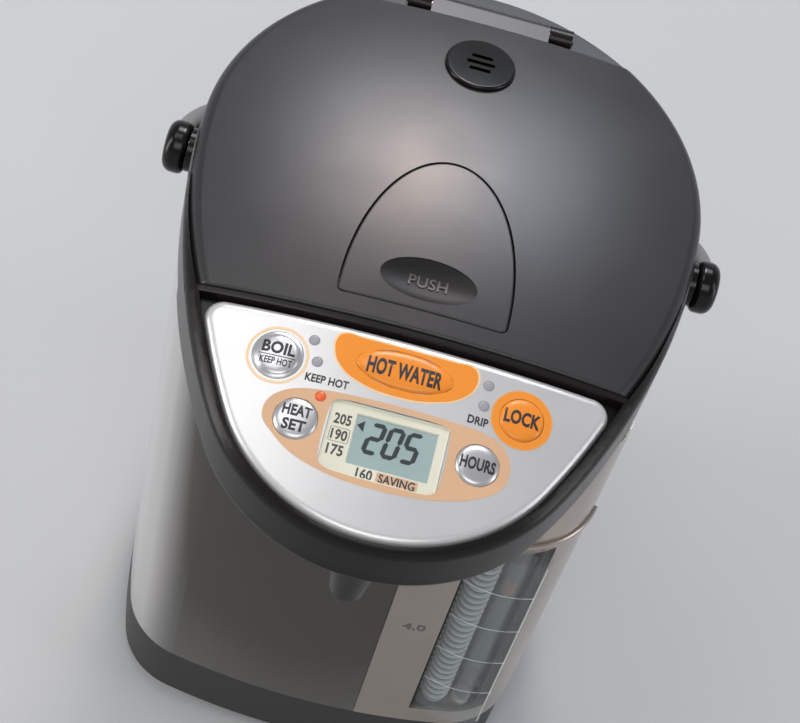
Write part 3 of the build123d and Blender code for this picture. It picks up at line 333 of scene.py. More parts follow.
def finish(name, colour, roughness, metallic=0.0, mottle=0.06, mottle_scale=40.0, grain=900.0,
           bump=0.04, coat=0.0, coat_roughness=0.1, ior=1.5, alpha=1.0, stretch=(1.0, 1.0, 1.0),
           flake=0.0, edge=None, bands=None):
    """A procedural finish: mottled colour, wandering gloss and a fine grain."""
    material, tree = node_material(name)
    place = add_node(tree, "TexCoord")["Object"]
    grid = add_node(tree, "Mapping", {"Vector": place, "Scale": stretch})["Vector"]
    slow = add_node(tree, "TexNoise", {"Vector": grid, "Scale": mottle_scale,
                                       "Detail": MOTTLE_DETAIL})["Fac"]
    fine = add_node(tree, "TexNoise", {"Vector": grid, "Scale": grain,
                                       "Detail": GRAIN_DETAIL})["Fac"]
    tint = mottled(tree, slow, colour, mottle, DARKEST_AT, LIGHTEST_AT)
    # edge is a painted reflection of the pale room, mixed in at a glancing angle
    if edge:
        tint = mix_colour(tree, glance_reflection_share(tree), tint, (*edge, 1))
    # bands hold painted shade, darker in the grooves between ribs
    if bands:
        pitch, start, groove_shade = bands
        tint = mix_colour(tree, groove_shade_share(tree, place, pitch, start), tint, (*groove_shade, 1))
    if flake:
        fleck = (*[min(1.0, c * FLECK_GAIN + FLECK_LIFT) for c in colour], 1)
        tint = mix_colour(tree, fleck_share(tree, grid, flake), tint, fleck)
    gloss = add_node(tree, "MapRange", {
        "Value": slow, "To Min": max(LEAST_ROUGHNESS, roughness - GLOSS_WANDER),
        "To Max": roughness + GLOSS_WANDER})["Result"]
    relief = add_node(tree, "Bump", {"Height": fine, "Strength": bump,
                                     "Distance": GRAIN_HEIGHT})["Normal"]
    shader = add_node(tree, "BsdfPrincipled", {
        "Base Color": tint, "Roughness": gloss, "Normal": relief, "Metallic": metallic,
        "Coat Weight": coat, "Coat Roughness": coat_roughness, "IOR": ior, "Alpha": alpha})
    add_node(tree, "OutputMaterial", {"Surface": shader["BSDF"]})
    return material


painted = []


def paint(material, *names):
    """Give CAD nodes a finish."""
    for name in names:
        nodes[name].data.materials.clear()
        nodes[name].data.materials.append(material)
    painted.extend(names)


print("screen grey 128 is", round(tone(128)[0], 3), "to a shader")

# %% [markdown]
# ## Finishes of the outside
# The lid and lever are moulded in a dark charcoal with a fine metallic fleck, which gives the
# broad satin glow. The housing and nose are the same plastic with a glossier skin. The body is
# sheet steel in a smooth brown-grey lacquer under a clear coat. Its sides curve away from the
# eye and mirror the pale room there, so a painted reflection of that room lightens its colour at
# a glancing angle.

# %% Outside finishes
lid_charcoal = finish("lid_charcoal", (0.030, 0.028, 0.030), 0.32, metallic=0.12, flake=0.06,
                      bump=0.03, mottle=0.03)
housing_charcoal = finish("housing_charcoal", (0.009, 0.0075, 0.0065), 0.26, bump=0.03,
                          mottle=0.04, ior=1.33)
nose_charcoal = finish("nose_charcoal", (0.009, 0.0075, 0.0065), 0.24, bump=0.03, ior=1.30)
black_gloss = finish("black_gloss", (0.004, 0.0032, 0.0028), 0.20, ior=1.36, bump=0.015)
# The body's edge colour is a painted reflection of the pale room, mixed in at a glancing angle.
body_lacquer = finish("body_lacquer", (0.082, 0.073, 0.063), 0.16, metallic=0.95, coat=0.5,
                      coat_roughness=0.06, bump=0.012, mottle=0.03, grain=1400.0,
                      edge=(0.70, 0.68, 0.66))
gauge_beige = finish("gauge_beige", (0.44, 0.375, 0.33), 0.22, metallic=0.8, bump=0.012,
                     mottle=0.04, coat=0.3)
handle_grey = finish("handle_grey", (0.17, 0.165, 0.165), 0.38, bump=0.05)
base_matt = finish("base_matt", (0.030, 0.028, 0.028), 0.5, bump=0.12, grain=1500.0)
foot_rubber = finish("foot_rubber", (0.02, 0.02, 0.02), 0.75, bump=0.15)
paint(lid_charcoal, "lid_shell", "lid_lever")
paint(housing_charcoal, "upper_housing")
paint(nose_charcoal, "nose_cover", "spout")
paint(black_gloss, "handle_hubs", "handle_washers", "steam_vent", "power_inlet")
paint(body_lacquer, "outer_body")
paint(gauge_beige, "gauge_frame")
paint(handle_grey, "carry_handle")
paint(base_matt, "base_cover", "turntable", "turntable_retainer")
paint(foot_rubber, "foot_ring")
print("nodes painted so far:", len(painted), "of", len(nodes))

# %% [markdown]
# ## Panel, keys and gauge finishes
# The panel is painted silver, so its grain is fine and its edge catches a white line. The round
# keys are the same silver, and two keys are orange. The pale rod in the gauge is ribbed, and its
# grooves hold shade, so bands of a darker tone follow the ribs' own pitch.

# %% Panel finishes
panel_silver = finish("panel_silver", (0.66, 0.655, 0.66), 0.32, metallic=0.5, bump=0.03,
                      mottle=0.02)
key_silver = finish("key_silver", (0.60, 0.60, 0.62), 0.30, metallic=0.8, bump=0.02, mottle=0.02)
key_orange = finish("key_orange", tone(236, 142, 48), 0.26, bump=0.02, mottle=0.03, ior=1.42)
lamp_grey = finish("lamp_grey", tone(150, 152, 158), 0.4, bump=0.0)
clear_cover = finish("clear_cover", (0.75, 0.80, 0.79), 0.06, bump=0.0, alpha=0.03)
display_grey = finish("display_grey", (0.30, 0.36, 0.36), 0.45, bump=0.01)
paint(panel_silver, "control_panel")
paint(key_silver, "reboil_button", "temperature_button", "timer_button")
paint(key_orange, "dispense_button", "unlock_button")
paint(clear_cover, "display_window")
paint(display_grey, "display_module")
paint(lamp_grey, "indicator_lamps")
print("nodes painted so far:", len(painted), "of", len(nodes))

# %% Gauge finishes
RIB_PITCH = 5.2 * MM
scale_low, scale_high = (corner[2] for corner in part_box("gauge_scale"))
rib_count = int((scale_high - scale_low) / RIB_PITCH)
rib_start = (scale_low + scale_high - (rib_count - 1) * RIB_PITCH) / 2
gauge_clear = finish("gauge_clear", (0.40, 0.43, 0.43), 0.08, bump=0.0, alpha=0.16, coat=0.5,
                     coat_roughness=0.03)
tube_clear = finish("tube_clear", (0.55, 0.60, 0.59), 0.08, bump=0.0, alpha=0.22, coat=0.4)
# The scale's darker bands are painted shade in the grooves between its ribs.
scale_white = finish("scale_white", (0.55, 0.59, 0.57), 0.3, bump=0.02,
                     bands=(RIB_PITCH, rib_start, (0.13, 0.14, 0.14)))
channel_grey = finish("channel_grey", (0.040, 0.043, 0.044), 0.35, bump=0.03)
float_red = finish("float_red", (0.35, 0.05, 0.03), 0.35, bump=0.02)
paint(gauge_clear, "gauge_window")
paint(tube_clear, "gauge_tube")
paint(scale_white, "gauge_scale")
paint(channel_grey, "gauge_channel")
paint(float_red, "gauge_float")
print("ribs on the scale:", rib_count)

# %% [markdown]
# ## Finishes inside
# The vessel is bright steel, the seals are milky silicone, and the pump and boards have the
# plain colours of such parts. Most of them only show when the lid is open, so each is a plain
# call of the same builder.

# %% Inside finishes
bright_steel = finish("bright_steel", (0.62, 0.61, 0.59), 0.22, metallic=1.0, mottle=0.05,
                      grain=500.0, bump=0.05, stretch=(1.0, 1.0, 14.0))
plain_steel = finish("plain_steel", (0.50, 0.50, 0.50), 0.3, metallic=1.0, bump=0.04)
silicone = finish("silicone", (0.62, 0.60, 0.56), 0.5, bump=0.05)
liner_grey = finish("liner_grey", (0.12, 0.12, 0.125), 0.42, bump=0.06)
pump_white = finish("pump_white", (0.70, 0.69, 0.66), 0.4, bump=0.05)
board_green = finish("board_green", (0.015, 0.12, 0.05), 0.35, mottle=0.2, mottle_scale=300.0)
switch_black = finish("switch_black", (0.02, 0.02, 0.02), 0.4)
heater_skin = finish("heater_skin", (0.32, 0.29, 0.26), 0.4, metallic=0.9, mottle=0.12)
pin_brass = finish("pin_brass", (0.72, 0.50, 0.22), 0.25, metallic=1.0, bump=0.03)
component_dark = finish("component_dark", (0.05, 0.05, 0.055), 0.45, mottle=0.15)
paint(bright_steel, "inner_vessel", "neck_ring", "vessel_floor", "vacuum_jacket", "inner_lid")
paint(plain_steel, "lid_hinge_pin", "lever_pin", "handle_pivots", "base_screws", "pump_motor",
      "thermal_sensor")
paint(silicone, "lid_gasket", "mouth_gasket", "outlet_hose", "delivery_pipe", "spout_pipe")
paint(liner_grey, "lid_liner", "latch_bolt")
paint(pump_white, "pump_housing", "pump_impeller")
paint(board_green, "control_board", "power_board")
paint(switch_black, "switches")
paint(heater_skin, "heater")
paint(pin_brass, "inlet_pins")
paint(component_dark, "power_parts")
print("nodes painted:", len(painted), "of", len(nodes))

# %% [markdown]
# ## The panel's own surface
# The panel is crowned across and straight down the slope, so it is a cylinder laid on a ramp.
# A place on it is given as x across and s down from its rear edge, both in millimetres. A print
# is drawn flat first, cut into narrow strips so that it can follow the crown, and then each
# of its points is carried over to the panel and lifted a few hundredths of a millimetre.

# %% Places on the panel
CROWN_Z = 333.0         # top of the domed lid
DOME_RADIUS = 600.0
CREASE_Y = -90.6        # where the dome ends and the nose's slope begins
PANEL_REAR_Y = -92.0
NOSE_SLOPE = math.radians(12.0)
CREASE_RADIUS = math.sqrt(DOME_RADIUS**2 - CREASE_Y**2)


def panel_place(x, s):
    """The turn and place of a spot on the panel, with its z axis square to the surface."""
    y = PANEL_REAR_Y - s * math.cos(NOSE_SLOPE)
    crown = CROWN_Z - DOME_RADIUS + math.sqrt(CREASE_RADIUS**2 - x**2)
    z = crown - (CREASE_Y - y) * math.tan(NOSE_SLOPE)
    turn = (Matrix.Rotation(NOSE_SLOPE, 4, "X")
            @ Matrix.Rotation(math.asin(x / CREASE_RADIUS), 4, "Y"))
    return Matrix.Translation(Vector((x, y, z)) * MM) @ turn @ Matrix.Scale(MM, 4)


print("the panel's crown has a radius of", round(CREASE_RADIUS, 1), "mm")

# %% Pieces and prints
INK_RISE = 0.05
UPPER_INK_RISE = 0.09
PANEL_STRIP = 3.0
added = []


def slice_up(bm, step, axis):
    """Cut a flat drawing into strips along one axis."""
    across = [v.co[axis] for v in bm.verts]
    normal = Vector((0, 0, 0))
    normal[axis] = 1.0
    for i in range(math.ceil(min(across) / step), math.floor(max(across) / step) + 1):
        everything = bm.verts[:] + bm.edges[:] + bm.faces[:]
        bmesh.ops.bisect_plane(bm, geom=everything, plane_co=normal * i * step, plane_no=normal)


def as_piece(bm, name, material, body="housing", sharp=None):
    """Make a mesh object from a bmesh, ride it on a body and give it a finish."""
    bm.normal_update()
    mesh = bpy.data.meshes.new(name)
    bm.to_mesh(mesh)
    bm.free()
    mesh.materials.append(material)
    if sharp:
        mesh.shade_smooth()
        mesh.set_sharp_from_angle(angle=math.radians(sharp))
    piece = bpy.data.objects.new(name, mesh)
    bpy.context.scene.collection.objects.link(piece)
    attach(piece, body)
    added.append(name)
    return piece


def print_on_panel(bm, name, material, x=0, s=0, rise=INK_RISE):
    """Lay a flat drawing, in millimetres, on the panel round a spot."""
    bmesh.ops.translate(bm, verts=bm.verts[:], vec=(x, -s, 0))
    slice_up(bm, PANEL_STRIP, 0)
    for vert in bm.verts:
        u, v, _ = vert.co
        vert.co = panel_place(u, -v) @ Vector((0, 0, rise))
    return as_piece(bm, name, material)


# %% [markdown]
# ## Flat drawings
# Outlines that an ellipse or a rectangle can't give, such as the lens-shaped band, are drawn
# as a flat curve through a few knots. A second loop inside the first is left open, so a key or
# the display shows through the print. Words are made from the built-in font, turned into a
# mesh and stretched to the height and width that the print has.

# %% Flat shapes


def mesh_from(source):
    """A bmesh of a curve or text, whose object is then dropped."""
    bpy.context.scene.collection.objects.link(source)
    bpy.context.view_layer.update()
    graph = bpy.context.evaluated_depsgraph_get()
    mesh = bpy.data.meshes.new_from_object(source.evaluated_get(graph))
    bm = bmesh.new()
    bm.from_mesh(mesh)
    bpy.data.objects.remove(source)
    bpy.data.meshes.remove(mesh)
    bmesh.ops.remove_doubles(bm, verts=bm.verts[:], dist=1e-5)
    return bm


def outline(*loops):
    """A filled flat shape through a few knots; the loops after the first are holes."""
    curve = bpy.data.curves.new("outline", "CURVE")
    curve.dimensions = "2D"
    curve.fill_mode = "BOTH"
    curve.resolution_u = 10
    for loop in loops:
        spline = curve.splines.new("BEZIER")
        spline.bezier_points.add(len(loop) - 1)
        for knot, (x, y) in zip(spline.bezier_points, loop):
            knot.co = (x, y, 0)
            knot.handle_left_type = "AUTO"
            knot.handle_right_type = "AUTO"
        spline.use_cyclic_u = True
    return mesh_from(bpy.data.objects.new("outline", curve))


def oval_knots(x, y, across, along):
    """Eight knots of an oval, for an outline or a hole."""
    turns = [i * math.pi / 4 for i in range(8)]
    return [(x + across / 2 * math.cos(t), y + along / 2 * math.sin(t)) for t in turns]


def ring(outer, inner):
    """A flat disc with a round hole, given by their diameters."""
    return outline(oval_knots(0, 0, outer, outer), oval_knots(0, 0, inner, inner))


# %% Lettering
BOLD = 0.04
LETTER_SPACING = 1.03


def stretch_to(bm, width, height):
    """Centre a flat drawing and stretch it to a width and a height."""
    xs = [v.co.x for v in bm.verts]
    ys = [v.co.y for v in bm.verts]
    bmesh.ops.translate(bm, verts=bm.verts[:],
                        vec=(-(min(xs) + max(xs)) / 2, -(min(ys) + max(ys)) / 2, 0))
    bmesh.ops.scale(bm, verts=bm.verts[:],
                    vec=(width / (max(xs) - min(xs)), height / (max(ys) - min(ys)), 1))


def lettering(words, width, height, bold=BOLD):
    """Flat capitals or figures, centred, in millimetres."""
    curve = bpy.data.curves.new("lettering", "FONT")
    curve.body = words
    curve.offset = bold
    curve.space_character = LETTER_SPACING
    curve.resolution_u = 3
    bm = mesh_from(bpy.data.objects.new("lettering", curve))
    stretch_to(bm, width, height)
    return bm


# %% [markdown]
# ## Inks
# The panel is screen printed: a strong orange round the two keys that pour, a pale orange band
# behind the display, cream hairlines and near-black words. Ink lies flat and dull on the silver
# paint, so each ink is a plain finish with a fine grain and little gloss. One picture could
# carry the whole print, but pieces of ink keep a sharp edge from any distance.

# %% Inks
ink_orange = finish("ink_orange", tone(234, 146, 60), 0.5, bump=0.02, mottle=0.02, ior=1.12)
ink_pale = finish("ink_pale", tone(212, 174, 140), 0.45, bump=0.02, mottle=0.02, ior=1.12)
ink_cream = finish("ink_cream", tone(236, 204, 160), 0.42, bump=0.02, mottle=0.02)
ink_dark = finish("ink_dark", tone(42, 37, 42), 0.45, bump=0.02, mottle=0.05)
ink_grey = finish("ink_grey", tone(96, 96, 98), 0.45, bump=0.02, mottle=0.05)
ink_white = finish("ink_white", tone(214, 222, 222), 0.40, bump=0.02, mottle=0.03)
print("inks:", [m.name for m in bpy.data.materials if m.name.startswith("ink_")])

# %% [markdown]
# ## Where the keys and lamps sit
# Each key's place and width is written once, here. The key itself, the hole that the print
# leaves for it and the words on it are all set from that one line. The left round key has a flat
# shoulder that the others don't have.

# %% Places of keys and lamps
Key = namedtuple("Key", "x s width shoulder body skin")
KEYS = {
    "unlock_button": Key(46.5, 20.1, 17.2, 0.0, "unlock", key_orange),
    "reboil_button": Key(-48.3, 19.7, 17.0, 1.1, "reboil", key_silver),
    "temperature_button": Key(-35.7, 43.3, 16.7, 0.0, "temperature", key_silver),
    "timer_button": Key(33.9, 42.9, 16.7, 0.0, "timer", key_silver),
}
LONG_KEY = (-0.5, 14.3)
LONG_KEY_ACROSS = 37.2
LONG_KEY_ALONG = 15.2
LAMPS_DARK = [(-36.4, 10.5), (-33.3, 18.9), (31.5, 10.4), (31.4, 19.0)]
LAMP_LIT = (-28.8, 32.4)
print("keys:", len(KEYS) + 1, "lamps:", len(LAMPS_DARK) + 1)

# %% [markdown]
# ## Printed fields on the panel
# Four fields lie under the keys: the orange lens round the long key, the orange disc round the
# key at its right, a pale ring round the key at its left and the pale band behind the display.
# Each is an outline with a hole for the key or the display in it. A field with a rim is printed
# twice, first the wider rim and a little higher the field itself.

# %% Fields round the pouring keys
PRINT_GAP = 0.1         # how much wider than its key a hole in the print is
LENS_MIDDLE = 15.0      # how far down the panel the lens has its middle
RIM_WIDER = 1.028       # how much the lens's rim is larger than the lens
RIM_TALLER = 1.075
RIM_SHIFT = 0.02
LOCK_FIELD = 23.2
LOCK_RIM = 24.2
BOIL_RING_OUTER = 23.6
BOIL_RING_INNER = 21.4
long_hole = oval_knots(LONG_KEY[0], -LONG_KEY[1], LONG_KEY_ACROSS + PRINT_GAP,
                       LONG_KEY_ALONG + PRINT_GAP)
lens = [(-28.0, -7.0), (-26.2, -5.0), (-18.4, -4.9), (-0.8, -5.1), (16.8, -5.1), (24.6, -5.2),
        (26.5, -7.2), (26.4, -13.4), (22.4, -18.6), (14.1, -22.7), (-1.0, -25.0), (-16.1, -22.9),
        (-24.3, -18.3), (-28.0, -12.1)]
print_on_panel(outline(lens, long_hole), "print_pour_field", ink_orange, rise=UPPER_INK_RISE)
lens_rim = [(x * RIM_WIDER + RIM_SHIFT, (y + LENS_MIDDLE) * RIM_TALLER - LENS_MIDDLE)
            for x, y in lens]
print_on_panel(outline(lens_rim, long_hole), "print_pour_rim", ink_cream)
unlock = KEYS["unlock_button"]
print_on_panel(ring(LOCK_FIELD, unlock.width + PRINT_GAP), "print_lock_field", ink_orange,
               unlock.x, unlock.s, UPPER_INK_RISE)
print_on_panel(ring(LOCK_RIM, unlock.width + PRINT_GAP), "print_lock_rim", ink_pale,
               unlock.x, unlock.s)
reboil = KEYS["reboil_button"]
print_on_panel(ring(BOIL_RING_OUTER, BOIL_RING_INNER), "print_boil_ring", ink_cream,
               reboil.x, reboil.s)
print("pieces added so far:", len(added))

# %% Band behind the display
LAMP_HOLE = 4.2
band = [(-48.4, -42.4), (-47.3, -37.6), (-43.9, -34.0), (-39.3, -31.6), (-30.0, -29.7),
        (-13.8, -28.8), (-1.1, -28.6), (21.0, -28.9), (33.8, -29.8), (39.8, -31.7),
        (44.3, -35.6), (46.5, -42.6), (44.7, -49.3), (36.4, -55.9), (22.5, -60.8),
        (11.0, -62.7), (-1.5, -63.3), (-14.0, -62.6), (-25.1, -60.4), (-35.7, -56.2),
        (-43.7, -50.0), (-47.6, -45.8)]
window_hole = [(-23.9, -33.0), (-22.6, -31.8), (20.2, -31.8), (21.2, -33.0), (21.1, -57.6),
               (19.6, -59.2), (10.0, -60.3), (-1.2, -60.5), (-12.0, -60.3), (-22.4, -58.8),
               (-23.8, -57.4)]
holes = [(key.x, key.s, key.width + PRINT_GAP)
         for key in (KEYS["temperature_button"], KEYS["timer_button"])]
holes.append((*LAMP_LIT, LAMP_HOLE))
round_holes = [oval_knots(x, -s, width, width) for x, s, width in holes]
print_on_panel(outline(band, window_hole, *round_holes), "print_band", ink_pale)
print("holes in the band:", 1 + len(round_holes))

# %% [markdown]
# ## Keys
# The keys are domed buttons. A turned profile is the natural way to make one: half the section
# is drawn as a few points and spun round the key's own axis, with the skirt and the flange that
# hold it under the panel. The long key is the same turned shape stretched one way.

# %% Turned keys
SKIRT_FOOT = -2.65
FLANGE_FOOT = -3.6
FLANGE_REACH = 0.8


def turned(profile, steps=72):
    """Spin a half section, given as (radius, height) points, into a closed shape."""
    bm = bmesh.new()
    line = [bm.verts.new((r, 0, z)) for r, z in profile]
    edges = [bm.edges.new(pair) for pair in zip(line, line[1:])]
    bmesh.ops.spin(bm, geom=line + edges, cent=(0, 0, 0), axis=(0, 0, 1), angle=math.tau,
                   steps=steps, use_merge=True)
    bmesh.ops.remove_doubles(bm, verts=bm.verts[:], dist=1e-5)
    bmesh.ops.recalc_face_normals(bm, faces=bm.faces[:])
    return bm


def key_profile(radius, shoulder=0.0):
    """Half section of a domed key with its skirt and flange, and a flat shoulder if asked."""
    outer = radius + shoulder
    return [(0, 1.30), (radius * 0.35, 1.28), (radius * 0.62, 1.18), (radius - 1.9, 1.02),
            (radius - 1.1, 0.82), (radius - 0.5, 0.50), (radius - 0.12, 0.12), (outer, -0.1),
            (outer, SKIRT_FOOT), (outer + FLANGE_REACH, SKIRT_FOOT),
            (outer + FLANGE_REACH, FLANGE_FOOT), (0, FLANGE_FOOT)]


def key_piece(bm, name, material, body, x, s):
    """Set a turned key on the panel and let it ride on its own body."""
    bmesh.ops.transform(bm, matrix=panel_place(x, s), verts=bm.verts[:])
    return as_piece(bm, name, material, body, sharp=50)


key_pieces = {}
for node, (x, s, width, shoulder, body, skin) in KEYS.items():
    piece = key_piece(turned(key_profile(width / 2, shoulder)), f"{body}_key", skin, body, x, s)
    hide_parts(node)
    key_pieces[body] = (piece, x, s)

bm = turned(key_profile(LONG_KEY_ALONG / 2), steps=96)
bmesh.ops.scale(bm, verts=bm.verts[:], vec=(LONG_KEY_ACROSS / LONG_KEY_ALONG, 1, 1))
piece = key_piece(bm, "pour_key", key_orange, "dispense", *LONG_KEY)
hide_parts("dispense_button")
key_pieces["dispense"] = (piece, *LONG_KEY)
print("turned keys:", sorted(key_pieces))

# %% [markdown]
# ## Words on the keys and the panel
# A word on a domed key has to bend with it. The flat word is cut into small squares, and each of
# its points is dropped onto the key along the key's own axis. The words ride on the key, so they
# travel with it when it is pressed.

# %% Words on keys
WORD_SQUARE = 1.5
DROP_HEIGHT = 5.0
LINE_SIZE = (14.0, 0.35, 1)


def surface_of(mesh):
    """A search tree of a mesh's surface."""
    shape = bmesh.new()
    shape.from_mesh(mesh)
    tree = BVHTree.FromBMesh(shape)
    shape.free()
    return tree


def print_on_key(bm, name, body, down=0):
    """Drop a flat drawing onto a domed key, shifted down from its middle."""
    piece, x, s = key_pieces[body]
    place = panel_place(x, s)
    bmesh.ops.translate(bm, verts=bm.verts[:], vec=(0, -down, 0))
    slice_up(bm, WORD_SQUARE, 0)
    slice_up(bm, WORD_SQUARE, 1)
    tree = surface_of(piece.data)
    inward = (place.to_3x3() @ Vector((0, 0, -1))).normalized()
    for vert in bm.verts:
        start = place @ Vector((vert.co.x, vert.co.y, DROP_HEIGHT))
        hit = tree.ray_cast(start, inward)[0]
        vert.co = hit - inward * INK_RISE * MM
    return as_piece(bm, name, ink_dark, body)


print_on_key(lettering("HOT WATER", 29.0, 7.0), "word_pour", "dispense", 0.6)
print_on_key(lettering("LOCK", 14.2, 6.0), "word_lock", "unlock", -0.3)
print_on_key(lettering("BOIL", 12.8, 5.2), "word_boil", "reboil", -2.5)
print_on_key(lettering("KEEP HOT", 12.4, 2.9, 0.03), "word_keep_hot", "reboil", 3.1)
bm = bmesh.new()
bmesh.ops.create_grid(bm, x_segments=1, y_segments=1, size=0.5)
bmesh.ops.scale(bm, verts=bm.verts[:], vec=LINE_SIZE)
print_on_key(bm, "line_boil", "reboil", 0.9)
print_on_key(lettering("HEAT", 11.0, 4.6), "word_heat", "temperature", -2.8)
print_on_key(lettering("SET", 9.0, 4.6), "word_set", "temperature", 3.1)
print_on_key(lettering("HOURS", 13.6, 5.2), "word_hours", "timer")
print("words and lines on keys:", added[added.index("word_pour"):])

# %% Captions beside the lamps
print_on_panel(lettering("KEEP HOT", 16.6, 3.4, 0.032), "caption_keep_hot", ink_dark, -28.0, 25.6)
print_on_panel(lettering("DRIP", 8.0, 3.4, 0.032), "caption_drip", ink_dark, 30.4, 25.5)
print("captions:", added[-2:])

# %% [markdown]
# ## Lamps
# Five small lamps look through the panel. Four are dark, so only a pale grey lens shows, and
# the one above the heat key is lit. Each lens is a short turned rod with a barely domed end,
# which catches a small highlight that a flat disc wouldn't.

# %% Lamp lenses
LENS_PROFILE = [(0, 0.22), (1.2, 0.18), (1.9, 0.08), (2.08, -0.1), (2.08, -4.9), (0, -4.9)]


def lens_rods(spots):
    """Turned lenses at several places on the panel, in one mesh."""
    bm = bmesh.new()
    for x, s in spots:
        rod = turned(LENS_PROFILE, steps=40)
        bmesh.ops.transform(rod, matrix=panel_place(x, s), verts=rod.verts[:])
        part = bpy.data.meshes.new("lens")
        rod.to_mesh(part)
        rod.free()
        bm.from_mesh(part)
        bpy.data.meshes.remove(part)
    return bm


lamp_lit = finish("lamp_lit", tone(226, 92, 30), 0.3, bump=0.0, coat=0.3)
dark_lamps = as_piece(lens_rods(LAMPS_DARK), "lamps_dark", lamp_grey, sharp=40)
lit_lamp = as_piece(lens_rods([LAMP_LIT]), "lamp_lit", lamp_lit, sharp=40)
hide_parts("indicator_lamps")
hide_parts("indicator_lamps")
print("lamp pieces:", added[-2:])

# %% [markdown]
# ## Display
# Behind a clear pane lies a cream mask with a sunk opening, and in it the grey-green liquid
# crystal. The mask is one rounded plate: its edge is inset and pushed down for the sloping rim,
# and inset again for the opening, which is moved to where the crystal sits.

# %% Plates of the display
DISPLAY = (-1.4, 45.8)
lcd_cream = finish("lcd_cream", tone(222, 220, 200), 0.45, bump=0.02, mottle=0.02)
lcd_grey = finish("lcd_grey", tone(150, 172, 172), 0.35, bump=0.01, mottle=0.04, coat=0.3)
lcd_ink = finish("lcd_ink", tone(26, 34, 42), 0.5, bump=0.01, mottle=0.05, ior=1.2)


def rounded_plate(width, height, radius, segments=5):
    """A flat plate with rounded corners, centred."""
    bm = bmesh.new()
    bmesh.ops.create_grid(bm, x_segments=1, y_segments=1, size=0.5)
    bmesh.ops.scale(bm, verts=bm.verts[:], vec=(width, height, 1))
    bmesh.ops.bevel(bm, geom=bm.verts[:], offset=radius, segments=segments, profile=0.5,
                    affect="VERTICES", material=-1)
    return bm


def push_in(bm, face, border, depth=0.0):
    """Inset a face and sink its middle."""
    bmesh.ops.inset_individual(bm, faces=[face], thickness=border, use_even_offset=True)
    bmesh.ops.translate(bm, verts=face.verts[:], vec=(0, 0, -depth))


def on_display(bm, name, material, x=DISPLAY[0], s=DISPLAY[1], depth=0.0):
    """Lay a flat drawing on the display, at a place on the panel and a depth."""
    local = Matrix.Translation((x - DISPLAY[0], DISPLAY[1] - s, -depth))
    bmesh.ops.transform(bm, matrix=panel_place(*DISPLAY) @ local, verts=bm.verts[:])
    return as_piece(bm, name, material)


# %% Mask, screen and pane
MASK_SIZE = (45.0, 28.9)
PANE_SIZE = (44.9, 28.8)
SCREEN_SIZE = (31.6, 20.4)
CORNER = 1.4
SCREEN_CORNER = 0.4
RIM_DROP = 0.6          # how far the mask's rim, its floor and its opening's edge each go down
RIM_BORDER = 0.7
FLOOR_BORDER = 0.2
EDGE_BORDER = 0.45
OPENING_HALF = (15.9, 10.3)
OPENING_RIGHT = 3.3     # how far the opening lies off the display's middle
OPENING_UP = 0.6
SCREEN_DEPTH = 1.78
PANE_DEPTH = 0.55
PANE_THICKNESS = 0.3
bm = rounded_plate(*MASK_SIZE, CORNER)
bmesh.ops.translate(bm, verts=bm.verts[:], vec=(0, 0, -RIM_DROP))
opening = bm.faces[:][0]
push_in(bm, opening, RIM_BORDER, RIM_DROP)
push_in(bm, opening, FLOOR_BORDER)
inner = opening.verts[:]
wide = max(v.co.x for v in inner)
tall = max(v.co.y for v in inner)
bmesh.ops.scale(bm, verts=inner, vec=(OPENING_HALF[0] / wide, OPENING_HALF[1] / tall, 1))
bmesh.ops.translate(bm, verts=inner, vec=(OPENING_RIGHT, OPENING_UP, 0))
push_in(bm, opening, EDGE_BORDER, RIM_DROP)
bmesh.ops.delete(bm, geom=[opening], context="FACES")
on_display(bm, "display_mask", lcd_cream)
on_display(rounded_plate(*SCREEN_SIZE, SCREEN_CORNER, 2), "display_screen", lcd_grey,
           DISPLAY[0] + OPENING_RIGHT, DISPLAY[1] - OPENING_UP, SCREEN_DEPTH)
bm = rounded_plate(*PANE_SIZE, CORNER)
bmesh.ops.solidify(bm, geom=bm.faces[:], thickness=PANE_THICKNESS)
pane = on_display(bm, "display_pane", clear_cover, depth=PANE_DEPTH)
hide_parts("display_window")
print("display pieces:", added[-3:])

# %% [markdown]
# ## Figures on the display
# The figures are seven-segment digits. One segment is a flat bar whose corners are cut by a
# vertex bevel, and a digit is a choice of such bars, leaned over to the right as on the real
# crystal. A font could give digits too, but not the small gaps between their bars.

# %% Digits
DIGIT_WIDTH = 4.6
DIGIT_HEIGHT = 11.4
DIGIT_PITCH = 7.1
LEAN = 0.155
STROKE = 1.8
BAR_GAP = 0.15
BAR_POINT = 0.42        # how far a bar's corners are cut back, as a share of its stroke
BARS = {"a": (0, 1, False), "g": (0, 0, False), "d": (0, -1, False), "f": (-1, 0.5, True),
        "b": (1, 0.5, True), "e": (-1, -0.5, True), "c": (1, -0.5, True)}
FIGURES = {"0": "abcdef", "2": "abged", "5": "afgcd"}


def seven_segment(figures):
    """Flat seven-segment digits in a row, centred."""
    bm = bmesh.new()
    for i, figure in enumerate(figures):
        middle = (i - (len(figures) - 1) / 2) * DIGIT_PITCH
        for letter in FIGURES[figure]:
            column, row, upright = BARS[letter]
            length = DIGIT_HEIGHT / 2 if upright else DIGIT_WIDTH
            new = bmesh.ops.create_grid(bm, x_segments=1, y_segments=1, size=0.5)["verts"]
            bmesh.ops.scale(bm, verts=new, vec=(length - BAR_GAP, STROKE, 1))
            if upright:
                bmesh.ops.rotate(bm, verts=new, matrix=Matrix.Rotation(math.pi / 2, 3, "Z"))
            shift = (middle + column * DIGIT_WIDTH / 2, row * DIGIT_HEIGHT / 2, 0)
            bmesh.ops.translate(bm, verts=new, vec=shift)
            bmesh.ops.bevel(bm, geom=new, offset=STROKE * BAR_POINT, segments=1, profile=0.5,
                            affect="VERTICES", material=-1)
    shear = Matrix.Identity(4)
    shear[0][1] = LEAN
    bmesh.ops.transform(bm, matrix=shear, verts=bm.verts[:])
    return bm


